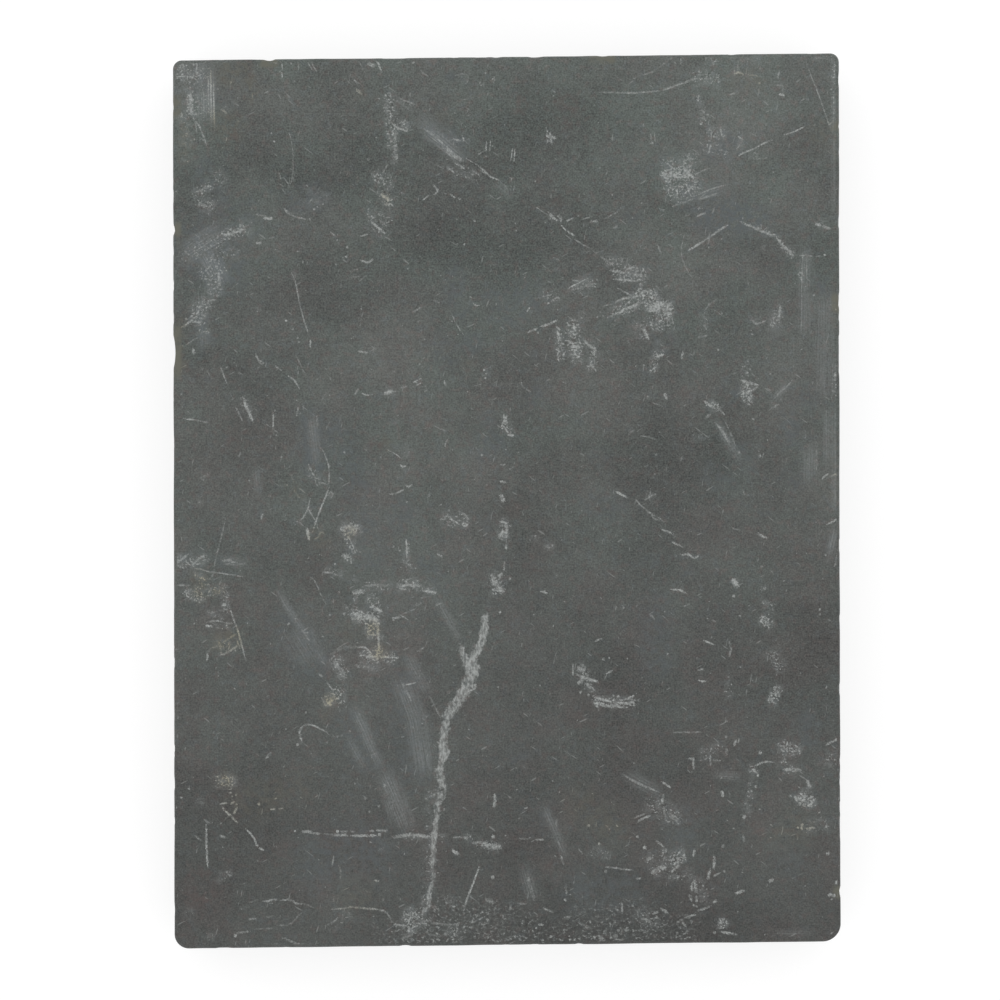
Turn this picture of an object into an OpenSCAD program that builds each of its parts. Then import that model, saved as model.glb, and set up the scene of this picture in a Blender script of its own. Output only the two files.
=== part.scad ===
// Stone tooling slab for leather work: one dressed stone slab on four stick-on rubber feet.
// Millimetres, +Z up. The origin is on the bench, under the middle of the slab.
// +X runs across the slab to the right, and +Y along it, away from the user.

/* [Slab] */
// Width of the slab, measured along its front edge
slab_w = 228.6; // [150:0.1:305]
// Length of the slab, measured along its left edge
slab_l = 304.8; // [200:0.1:460]
// Thickness of the stone
slab_t = 30; // [20:1:50]
// How far the front and back edges climb from left to right
out_of_square = 2.5; // [0:0.1:5]
// How far the left and right edges lean to the left from front to back
side_lean = 0.6; // [0:0.1:3]
// Radius of the worn arris round the working face
top_arris = 1.4; // [0.6:0.1:3]
// Radius of the arris round the underside
under_arris = 0.9; // [0.6:0.1:3]

/* [Corners] */
// Radius of the front left corner
front_left_r = 5; // [2:0.1:12]
// Radius of the front right corner
front_right_r = 6; // [2:0.1:12]
// Radius of the back right corner
back_right_r = 3; // [2:0.1:12]
// Radius of the back left corner
back_left_r = 3; // [2:0.1:12]

/* [Feet] */
// Diameter of a foot at its flange, against the adhesive
foot_d = 22; // [14:0.5:32]
// Diameter of a foot at its tread, on the bench
tread_d = 18.5; // [12:0.5:28]
// Height of a foot
foot_h = 6; // [4:0.5:14]
// Height of the foot's straight flange
flange_h = 1.2; // [0.6:0.1:3]
// Radius of the tread's rounded rim
rim_r = 1.5; // [0.5:0.1:3]
// Distance from a foot's centre to the two nearest sides of the slab
foot_inset = 26; // [18:1:60]

/* [Tread] */
// Number of grip grooves in the tread
groove_count = 3; // [0:1:4]
// Width of a grip groove
groove_w = 0.7; // [0.4:0.1:1.5]
// Depth of a grip groove
groove_depth = 0.5; // [0.2:0.1:1.5]

/* [Adhesive] */
// Thickness of an adhesive disc
tape_t = 0.8; // [0.3:0.1:2]
// How far an adhesive disc stops short of the flange's edge
tape_setback = 0.8; // [0.3:0.1:2]

/* [Hidden] */

corner_steps = 8;   // straight steps in a slab corner's quarter turn
arris_steps = 2;    // straight steps in an arris's quarter turn
under_z = foot_h + tape_t;
middle_z = under_z + slab_t / 2;
face_z = under_z + slab_t;
rim_centre = tread_d / 2 - rim_r;
groove_pitch = rim_centre / (groove_count + 0.5);

// Corners and sides count anticlockwise, seen from above. A side starts at the corner of its number.
front_left = 0;
front_right = 1;
back_right = 2;
back_left = 3;
front = 0;
right = 1;
back = 2;
left = 3;

// Where the sides would meet if the corners were sharp
corners = [
    [-slab_w / 2 + side_lean / 2, -slab_l / 2 - out_of_square / 2],
    [slab_w / 2 + side_lean / 2, -slab_l / 2 + out_of_square / 2],
    [slab_w / 2 - side_lean / 2, slab_l / 2 + out_of_square / 2],
    [-slab_w / 2 - side_lean / 2, slab_l / 2 - out_of_square / 2]
];
corner_r = [front_left_r, front_right_r, back_right_r, back_left_r];
inward = [[1, 1], [-1, 1], [-1, -1], [1, -1]];

// Chips in the arris of the working face: [side, place, width, depth, drop].
// Place is measured from the side's first corner, or back from its last one if it is negative.
// Drop is how far down the side the chip runs out.
chips = [
    [right, 17, 5, 0.7, 13],
    [right, -86, 7, 0.5, 9],
    [right, -25, 3.5, 0.4, 6],
    [back, 81, 10, 0.4, 8],
    [back, -33, 7, 0.8, 11],
    [left, 16, 8, 0.4, 8],
    [left, 58, 5, 0.9, 14],
    [left, 100, 20, 0.9, 15]
];

function heading(from, to) = atan2(to[1] - from[1], to[0] - from[0]);
function step(length, angle) = length * [cos(angle), sin(angle)];

// One corner of the outline, drawn in by inset: an arc that is tangent to both sides
function arc(i, inset) =
    let (
        before = heading(corners[(i + 3) % 4], corners[i]),
        after = heading(corners[i], corners[(i + 1) % 4]),
        turn = (after - before + 360) % 360,
        r = corner_r[i],
        centre = corners[i]
            + step((r + inset) * tan(turn / 2), before + 180)
            + step(r + inset, before + 90)
    )
    [for (s = [0:corner_steps]) centre + step(r, before - 90 + turn * s / corner_steps)];

// The whole outline, drawn in by inset
function outline(inset) = [for (i = [0:3]) each arc(i, inset)];

module prism(inset, low, high)
    translate([0, 0, low])
        linear_extrude(high - low)
            polygon(outline(inset));

// The slab before it was chipped: its side walls, stretched over both arrises.
// Each arris is a quarter round in short flats.
module blank()
    hull() {
        prism(0, under_z + under_arris, face_z - top_arris);
        for (s = [1:arris_steps]) {
            inset = 1 - cos(90 * s / arris_steps);
            rise = 1 - sin(90 * s / arris_steps);
            prism(top_arris * inset, middle_z, face_z - top_arris * rise);
            prism(under_arris * inset, under_z + under_arris * rise, middle_z);
        }
    }

// A round-bottomed flake off the arris, deepest at the working face, that dies out down the side
module chip(side, place, width, depth, drop) {
    from = corners[side];
    to = corners[(side + 1) % 4];
    along = place < 0 ? norm(to - from) + place : place;
    bite = depth + top_arris;
    r = (width * width / 4 + bite * bite) / (2 * bite);
    at = from + step(along, heading(from, to));
    translate([at[0], at[1], face_z])
        rotate([0, 0, heading(from, to)])
            translate([0, depth, 0])
                rotate([-atan(depth / drop), 0, 0])
                    translate([0, -r, -drop])
                        cylinder(r = r, h = 2 * drop, $fn = 96);
}

module stone_slab()
    color([0.36, 0.37, 0.36])
        difference() {
            blank();
            for (c = chips) chip(c[0], c[1], c[2], c[3], c[4]);
        }

// Puts a piece under one corner of the slab
module under_corner(i)
    translate([for (axis = [0, 1]) corners[i][axis] + foot_inset * inward[i][axis]])
        children();

// Half of a foot's section: tread with a rounded rim, tapered side and straight flange
module foot_section() {
    polygon([
        [0, 0], [rim_centre, 0], [tread_d / 2, rim_r],
        [foot_d / 2, foot_h - flange_h], [foot_d / 2, foot_h], [0, foot_h]
    ]);
    translate([rim_centre, rim_r])
        circle(r = rim_r, $fn = 48);
}

module foot(i)
    color([0.09, 0.09, 0.09])
        under_corner(i)
            rotate_extrude($fn = 72)
                difference() {
                    foot_section();
                    for (g = [1:1:groove_count])
                        translate([g * groove_pitch - groove_w / 2, -groove_depth])
                            square([groove_w, 2 * groove_depth]);
                }

module adhesive(i)
    color([0.78, 0.78, 0.74])
        under_corner(i)
            translate([0, 0, foot_h])
                cylinder(d = foot_d - 2 * tape_setback, h = tape_t, $fn = 72);

stone_slab();
foot(front_left);  // foot_front_left
foot(front_right);  // foot_front_right
foot(back_right);  // foot_back_right
foot(back_left);  // foot_back_left
adhesive(front_left);  // adhesive_front_left
adhesive(front_right);  // adhesive_front_right
adhesive(back_right);  // adhesive_back_right
adhesive(back_left);  // adhesive_back_left
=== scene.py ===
import bpy
import numpy as np
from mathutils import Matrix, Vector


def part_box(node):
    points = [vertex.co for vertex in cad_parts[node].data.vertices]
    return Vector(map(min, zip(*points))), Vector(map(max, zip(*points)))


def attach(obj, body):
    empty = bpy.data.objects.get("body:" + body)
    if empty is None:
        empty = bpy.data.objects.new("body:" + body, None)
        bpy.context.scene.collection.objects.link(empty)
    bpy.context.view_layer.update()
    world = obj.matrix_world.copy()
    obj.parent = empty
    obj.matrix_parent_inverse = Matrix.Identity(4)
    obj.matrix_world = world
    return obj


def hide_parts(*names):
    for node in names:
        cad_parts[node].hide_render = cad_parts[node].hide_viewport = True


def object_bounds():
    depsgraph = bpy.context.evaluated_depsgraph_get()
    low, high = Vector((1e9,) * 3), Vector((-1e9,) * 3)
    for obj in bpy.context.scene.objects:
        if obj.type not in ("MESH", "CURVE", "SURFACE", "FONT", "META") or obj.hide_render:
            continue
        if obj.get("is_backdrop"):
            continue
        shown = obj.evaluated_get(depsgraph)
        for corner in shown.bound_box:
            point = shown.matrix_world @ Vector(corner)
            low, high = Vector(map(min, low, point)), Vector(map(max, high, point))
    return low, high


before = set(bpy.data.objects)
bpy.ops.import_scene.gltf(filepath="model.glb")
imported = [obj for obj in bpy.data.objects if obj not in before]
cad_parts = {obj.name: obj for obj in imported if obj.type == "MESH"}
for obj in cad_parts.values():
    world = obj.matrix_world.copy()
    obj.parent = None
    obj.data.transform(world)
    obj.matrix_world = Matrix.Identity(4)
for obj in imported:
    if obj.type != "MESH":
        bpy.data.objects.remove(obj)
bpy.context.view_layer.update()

mm = 0.001
print("frame loaded:", len(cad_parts), "nodes")

# A honed stone slab for tooling leather on, face up, standing on four stuck-on rubber feet.
# Sizes are in millimetres, and places are measured from the middle of the slab.


def smooth(low, high, x):  # 3t² − 2t³, where t climbs from 0 at low to 1 at high
    t = np.clip((x - low) / (high - low), 0, 1)
    return t * t * (3 - 2 * t)


def cloudy(points, size, seed):
    # Value noise from −1 to 1: random values on a lattice, joined by 3t² − 2t³ along each axis
    lattice = np.random.default_rng(seed).uniform(-1, 1, (32, 32, 32))
    place = points / size + 400  # 400 cells off, so that none counts below 0
    cell = np.floor(place).astype(int)
    part = place - cell
    part = part * part * (3 - 2 * part)
    total = 0
    for corner in np.ndindex(2, 2, 2):
        share = np.prod(np.where(corner, part, 1 - part), axis=-1)
        i, j, k = np.moveaxis((cell + corner) % 32, -1, 0)
        total = total + share * lattice[i, j, k]
    return total


def layered(points, size, seed, octaves=3):  # cloudy in octaves, each half the size and 0.55 of the height
    return sum(0.55 ** n * cloudy(points, size / 2 ** n, seed + n) for n in range(octaves))


def gridQuads(ids, flipped=False):  # the four corners of each square, A B C D round it, or A D C B if flipped
    a, b, c, d = ids[:-1, :-1], ids[1:, :-1], ids[1:, 1:], ids[:-1, 1:]
    return np.stack([a, d, c, b] if flipped else [a, b, c, d], -1).reshape(-1, 4)


def closeRound(ids):  # rows that run round a piece: the first column again after the last
    return np.concatenate([ids, ids[:, :1]], axis=1)


def makeMesh(name, vertices, polygons):  # polygons: arrays, each of faces with one count of corners
    mesh = bpy.data.meshes.new(name)
    loops = np.concatenate([faces.reshape(-1) for faces in polygons]).astype(np.int32)
    sizes = np.concatenate([np.full(len(faces), faces.shape[1]) for faces in polygons])
    starts = np.concatenate([[0], np.cumsum(sizes)[:-1]]).astype(np.int32)
    mesh.vertices.add(len(vertices))
    mesh.vertices.foreach_set("co", vertices.astype(np.float32).reshape(-1))
    mesh.loops.add(len(loops))
    mesh.loops.foreach_set("vertex_index", loops)
    mesh.polygons.add(len(sizes))
    mesh.polygons.foreach_set("loop_start", starts)
    mesh.polygons.foreach_set("use_smooth", np.ones(len(sizes), bool))
    mesh.update(calc_edges=True)
    mesh.validate()
    piece = bpy.data.objects.new(name, mesh)
    bpy.context.scene.collection.objects.link(piece)
    return piece


def addAttribute(piece, name, values):  # one number or one vector to a vertex
    kind, key = ("FLOAT", "value") if values.ndim == 1 else ("FLOAT_VECTOR", "vector")
    made = piece.data.attributes.new(name, kind, "POINT")
    made.data.foreach_set(key, values.astype(np.float32).reshape(-1))


slab = {
    "width": 228.6, "length": 304.8,
    "outOfSquare": 2.5, "sideLean": 0.6,      # front and back climb, left and right lean
    "cornerRadii": (5, 6, 3, 3),              # front left, front right, back right, back left
    "topArris": 1.4, "underArris": 0.9,
    "cells": (228, 304),                      # squares across and along the working face
    "arrisSteps": 5, "wallSteps": 13, "underArrisSteps": 2,
    "underCells": 4,                          # face squares to one square of the underside
    "skirt": 3.5,                             # how far in from its arris the underside's squares begin
    "undulation": 0.05, "waveSize": 55,       # depth and size of the slow waves in the honed face
    "flakeDepth": 0.32, "flakeSize": 7,       # the same of the flakes in the riven patch
    "wallRelief": 0.3, "reliefSize": 9,       # the same of the tooling on the sides
    "arrisWear": 0.35, "wearSize": 16,        # the same of the wear on the arris
    "nickDepth": 1.6, "nickSize": 5,          # the same of the nicks in the arris
    "patchBack": (-143, -136),                # y over which the riven patch fades out, and x to each side
    "patchLeft": (-48, -30), "patchRight": (56, 72),
    "chips": [  # side from the front anticlockwise, place along it, width, depth, drop
        (1, 17, 5, 0.7, 13), (1, -86, 7, 0.5, 9), (1, -25, 3.5, 0.4, 6), (2, 81, 10, 0.4, 8),
        (2, -33, 7, 0.8, 11), (3, 16, 8, 0.4, 8), (3, 58, 5, 0.9, 14), (3, 100, 20, 0.9, 15),
    ],
}


def slabSides(values):
    # The four sharp corners, and each side's direction and inward normal, anticlockwise from the front
    w, l = values["width"] / 2, values["length"] / 2
    climb, lean = values["outOfSquare"] / 2, values["sideLean"] / 2
    sharp = np.array([
        (-w + lean, -l - climb), (w + lean, -l + climb), (w - lean, l + climb), (-w - lean, l - climb)])
    along = np.roll(sharp, -1, axis=0) - sharp
    along = along / np.linalg.norm(along, axis=1)[:, None]
    return sharp, along, np.stack([-along[:, 1], along[:, 0]], axis=1)


def onSlab(s, t, inset, values):
    # (1−s)(1−t)A + s(1−t)B + stC + (1−s)tD between corners drawn in by inset. In each corner's square
    # p' = p·√(1 − q²/2), which presses the square into a quarter disc; p and q are 1 on the sides
    sharp, along, inward = slabSides(values)
    inset = np.asarray(inset, float) + 0 * s
    drawn = [sharp[i] + inset[..., None] * (inward[i] + inward[i - 1]) for i in range(4)]
    weights = ((1 - s) * (1 - t), s * (1 - t), s * t, (1 - s) * t)
    flat = sum(weight[..., None] * corner for weight, corner in zip(weights, drawn))
    place = flat.copy()
    for i, radius in enumerate(values["cornerRadii"]):
        p = np.clip(1 - ((flat - drawn[i]) @ inward[i - 1]) / radius, 0, 1)
        q = np.clip(1 - ((flat - drawn[i]) @ inward[i]) / radius, 0, 1)
        place += (radius * p * (1 - np.sqrt(1 - q * q / 2)))[..., None] * inward[i - 1]
        place += (radius * q * (1 - np.sqrt(1 - p * p / 2)))[..., None] * inward[i]
    return place


def slabGrid(nx, ny, inset, height, values):  # onSlab at s = i/nx, t = j/ny, all at one height
    i, j = np.meshgrid(np.arange(nx + 1), np.arange(ny + 1), indexing="ij")
    xy = onSlab(i / nx, j / ny, inset, values)
    return np.concatenate([xy, np.full(xy.shape[:2] + (1,), height)], axis=-1)


def borderWalk(nx, ny):  # i and j of a grid's border, anticlockwise from the front left corner
    i = np.concatenate([np.arange(nx), np.full(ny, nx), np.arange(nx, 0, -1), np.zeros(ny, int)])
    j = np.concatenate([np.zeros(nx, int), np.arange(ny), np.full(nx, ny), np.arange(ny, 0, -1)])
    return i, j


def edgeProfile(values, low, high):
    # Inset and height of each ring: a quarter round, the wall, and a quarter round under it
    top, under = values["topArris"], values["underArris"]
    a = np.linspace(0, np.pi / 2, values["arrisSteps"] + 1)[1:]
    b = np.linspace(0, np.pi / 2, values["underArrisSteps"] + 1)[1:]
    wall = np.linspace(high - top, low + under, values["wallSteps"] + 1)[1:]
    inset = np.concatenate([top * (1 - np.sin(a)), 0 * wall, under * (1 - np.cos(b))])
    height = np.concatenate([high - top * (1 - np.cos(a)), wall, low + under * (1 - np.sin(b))])
    return inset, height


def flakePatch(xy, values):
    # The riven patch by the front edge: 1 over it, 0 elsewhere, its rim moved by noise of up to 4 mm or so
    x, y = xy[..., 0], xy[..., 1]
    wander = 4 * layered(np.stack([x, y, 0 * x], -1), 18, 70)
    band = 1 - smooth(*values["patchBack"], y + wander)
    band = band * smooth(*values["patchLeft"], x + wander)
    return band * (1 - smooth(*values["patchRight"], x + 2 * wander))


def slabFace(values, high):
    # The working face, lowered by the waves and in the riven patch by 1 − 1.6·|noise| of the flakes'
    # depth. Both grow from nothing over the first three squares from the border
    nx, ny = values["cells"]
    face = slabGrid(nx, ny, values["topArris"], high, values)
    i, j = np.meshgrid(np.arange(nx + 1), np.arange(ny + 1), indexing="ij")
    fromBorder = np.minimum(np.minimum(i, nx - i), np.minimum(j, ny - j))
    waves = 0.5 + 0.5 * layered(face, values["waveSize"], 3)
    riven = np.abs(layered(face * (1, 1.6, 1), values["flakeSize"], 20, 4))
    flakes = flakePatch(face, values) * (1 - np.clip(1.6 * riven, 0, 1))
    sunk = values["undulation"] * waves + values["flakeDepth"] * flakes
    face[..., 2] -= np.clip(sunk, 0, None) * smooth(0, 3, fromBorder)
    return face


def nearChips(place, values):
    # For each chip its width, depth and drop, and how far each place is from the chip's middle along the
    # side, (p − corner)·direction − start, and inwards from the side, (p − corner)·normal
    sharp, along, inward = slabSides(values)
    for side, start, width, depth, drop in values["chips"]:
        length = np.linalg.norm(sharp[(side + 1) % 4] - sharp[side])
        offset = place - sharp[side]
        yield width, depth, drop, offset @ along[side] - start % length, offset @ inward[side]


def chipBite(place, height, values, high):
    # How far a round-bottomed chip reaches in from its side: −r + √(r² − t²) + depth, where the depth falls
    # evenly to nothing over the chip's drop. Away from the chips it is a value that is never reached
    away = -9.0
    bite = np.full(height.shape, away)
    for width, depth, drop, t, inwards in nearChips(place, values):
        deepest = depth + values["topArris"]
        radius = (width ** 2 / 4 + deepest ** 2) / (2 * deepest)
        cut = depth * (1 - (high - height) / drop) - radius + np.sqrt(np.clip(radius ** 2 - t ** 2, 0, None))
        bite = np.maximum(bite, np.where((inwards < 8) & (np.abs(t) < radius), cut, away))
    return bite


def freshStone(place, down, values):
    # 1 where a chip has bared new stone and 0 elsewhere: half the chip's width to each side of its middle,
    # 3 mm of the working face, and the chip's drop down the side
    fresh = np.zeros(down.shape)
    for width, depth, drop, t, inwards in nearChips(place, values):
        across = 1 - smooth(0.32 * width, 0.56 * width, np.abs(t))
        across = across * (1 - smooth(2.2, 3.4, inwards))
        fresh = np.maximum(fresh, across * (1 - smooth(0.4 * drop, drop, down)))
    return fresh


def edgeWear(solid, low, high, values):
    # How far in the edge is worn: the sides' relief, which fades out at both arrises, and on the upper arris
    # slow wear and nicks, times a bell round 0.5 mm down, e^−((d − 0.5)/1.1)²
    down, up = high - solid[..., 2], solid[..., 2] - low
    relief = 0.5 + 0.5 * np.clip(layered(solid * (1, 1, 1.3), values["reliefSize"], 40, 4), -1, 1)
    nicks = values["nickDepth"] * np.clip(layered(solid, values["nickSize"], 60) - 0.55, 0, 1)
    wear = values["arrisWear"] * (0.5 + 0.5 * layered(solid, values["wearSize"], 50)) + nicks
    onSides = smooth(0, 1, down / values["topArris"]) * smooth(0, 2, up) * smooth(0, 6, down)
    onArris = np.exp(-((down - 0.5) / 1.1) ** 2) * smooth(0, 0.2, down)
    return values["wallRelief"] * relief * onSides + wear * onArris


def slabEdge(values, low, high):
    # The rings of the edge, each vertex moved inwards by the deeper of its wear and its chip. Inwards is
    # the way from a vertex's place to the one a millimetre further in
    nx, ny = values["cells"]
    i, j = borderWalk(nx, ny)
    inset, height = (part[:, None] for part in edgeProfile(values, low, high))
    s, t, z = np.broadcast_arrays(i / nx, j / ny, height)
    ring = onSlab(s, t, inset, values)
    solid = np.concatenate([ring, z[..., None]], axis=-1)
    push = edgeWear(solid, low, high, values)
    bite = chipBite(ring, z, values, high)
    push = np.where(bite > inset, np.maximum(push, bite - inset), push)
    # on the arris no ring reaches further in than the one over it, so that nothing overhangs
    rows = values["arrisSteps"]
    reached = np.concatenate([np.full((1, len(i)), values["topArris"]), inset[:rows] + push[:rows]])
    push[:rows] = np.minimum.accumulate(reached)[1:] - inset[:rows]
    inner = onSlab(s, t, inset + 1, values) - ring
    inner = inner / np.linalg.norm(inner, axis=-1)[..., None]
    solid[..., :2] += push[..., None] * inner
    return solid


def skirtFans(fine, coarse, step):
    # Triangles from the lowest ring to the underside's border, which has one vertex to each step of the
    # ring's. They fan out from the nearer border vertex, and one more closes the gap between two fans
    fine = fine.reshape(-1, step)
    ends = np.concatenate([fine, np.roll(fine, -1, axis=0)[:, :1]], axis=1)
    ahead = np.roll(coarse, -1)
    fans = [(ends[:, n + 1], ends[:, n], coarse if n < step // 2 else ahead) for n in range(step)]
    fans.append((ends[:, step // 2], coarse, ahead))
    return np.concatenate([np.stack(fan, -1) for fan in fans])


def slabMap(values, low, high, vertices, polygons):
    # Each polygon's corners on the bake's map. The face fills the left. The four sides are columns to its
    # right, with the way down the edge across them and along the side up them. The underside is over them
    nx, ny = values["cells"]
    faceQuads, wallQuads, skirts, underQuads = polygons
    gap, faceEnd, columns, column = 0.004, 0.69, 0.7, 0.075
    i, j = np.divmod(faceQuads.reshape(-1), ny + 1)
    face = np.stack([gap + (faceEnd - gap) * i / nx, gap + (1 - 2 * gap) * j / ny], -1)

    inset, height = edgeProfile(values, low, high)
    down = np.cumsum(np.hypot(np.diff(inset, prepend=values["topArris"]), np.diff(height, prepend=high)))
    down = np.concatenate([[0], down]) / down[-1]
    side = np.repeat([0, 1, 2, 3], [nx, ny, nx, ny])
    u = columns + column * side + gap + (column - 2 * gap) * down[:, None]
    start = np.concatenate([np.arange(n) / n for n in (nx, ny, nx, ny)])
    end = np.where(np.roll(start, -1) == 0, 1.0, np.roll(start, -1))
    below, above = (gap + (faceEnd - gap) * part + 0 * u[1:] for part in (start, end))
    wall = ((u[:-1], below), (u[1:], below), (u[1:], above), (u[:-1], above))
    wall = np.stack([np.stack(corner, -1) for corner in wall], -2)

    flat = vertices[:, :2] / mm / (values["width"] + 3, values["length"] + 4) + 0.5
    flat = columns + gap + (1 - columns - 2 * gap) * flat
    under = [flat[faces.reshape(-1)] for faces in (skirts, underQuads)]
    return np.concatenate([face, wall.reshape(-1, 2), *under])


def buildSlab(values):
    # One closed mesh: the face's grid, the rings of the edge, and the underside's grid joined on by a skirt
    low, high = (corner.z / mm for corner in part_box("stone_slab"))
    nx, ny = values["cells"]
    ux, uy = nx // values["underCells"], ny // values["underCells"]
    face, edge = slabFace(values, high), slabEdge(values, low, high)
    under = slabGrid(ux, uy, values["underArris"] + values["skirt"], low, values)
    vertices = np.concatenate([part.reshape(-1, 3) for part in (face, edge, under)]) * mm

    ids = np.arange(len(vertices))
    faceId, edgeId, underId = np.split(ids, [face.size // 3, (face.size + edge.size) // 3])
    faceId, edgeId, underId = (
        part.reshape(grid.shape[:2]) for part, grid in ((faceId, face), (edgeId, edge), (underId, under)))
    border = np.concatenate([faceId[borderWalk(nx, ny)][None], edgeId])
    skirt = skirtFans(border[-1], underId[borderWalk(ux, uy)], values["underCells"])
    polygons = [gridQuads(faceId), gridQuads(closeRound(border)), skirt, gridQuads(underId, flipped=True)]
    piece = makeMesh("slate_slab", vertices, polygons)
    uv = slabMap(values, low, high, vertices, polygons)
    piece.data.uv_layers.new(name="OFBake").data.foreach_set("uv", uv.astype(np.float32).reshape(-1))

    # cut is 0 on the working face and 1 on the sawn sides and underside
    cut = [np.zeros(faceId.size), smooth(0, 2.5, high - edge[..., 2]).reshape(-1), np.ones(underId.size)]
    addAttribute(piece, "cut", np.concatenate(cut))
    addAttribute(piece, "fresh", freshStone(vertices[:, :2] / mm, high - vertices[:, 2] / mm, values))
    addMarks(piece, face[..., :2], len(vertices))
    return piece


# The marks on the working face. The forked pale vein: width, strength, then x, y, x, y … down it
veins = [
    (2.6, 1, -7.5, -39.8, -7.7, -44, -8.5, -48, -10.5, -52, -12, -57),
    (2.6, .75, -16, -50, -14.5, -53.4, -13.2, -56.4), (4.4, .9, -11.4, -57.9, -12.7, -61.9),
    (4, .85, -12.7, -61.9, -14.7, -65, -17.7, -70, -20.3, -74),
    (2.9, .85, -20.3, -74, -21.5, -78.6, -21.8, -83.2), (3.3, 1, -21.8, -83.2, -21.5, -87.3),
    (2.1, .8, -21.8, -88, -22.8, -91.3, -23.2, -94), (3, .8, -23.2, -92, -22.5, -95.1, -22.3, -97.6),
    (4.4, .6, -22.6, -98.6, -22.8, -102.6), (2.2, .7, -23.8, -104.2, -24.1, -108.8),
    (2.1, .75, -24.3, -109.6, -24.6, -113.8), (2.3, .85, -24.8, -113.8, -25.1, -117.4, -25.6, -119.4),
    (1.8, .85, -25.4, -120.4, -25.4, -124.9), (1.8, .65, -25.4, -124.9, -25.1, -131),
    (1.9, .75, -26.3, -132.5, -26.8, -138.6), (1.7, .65, -27.1, -138.6, -28.9, -141.7),
]
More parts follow.
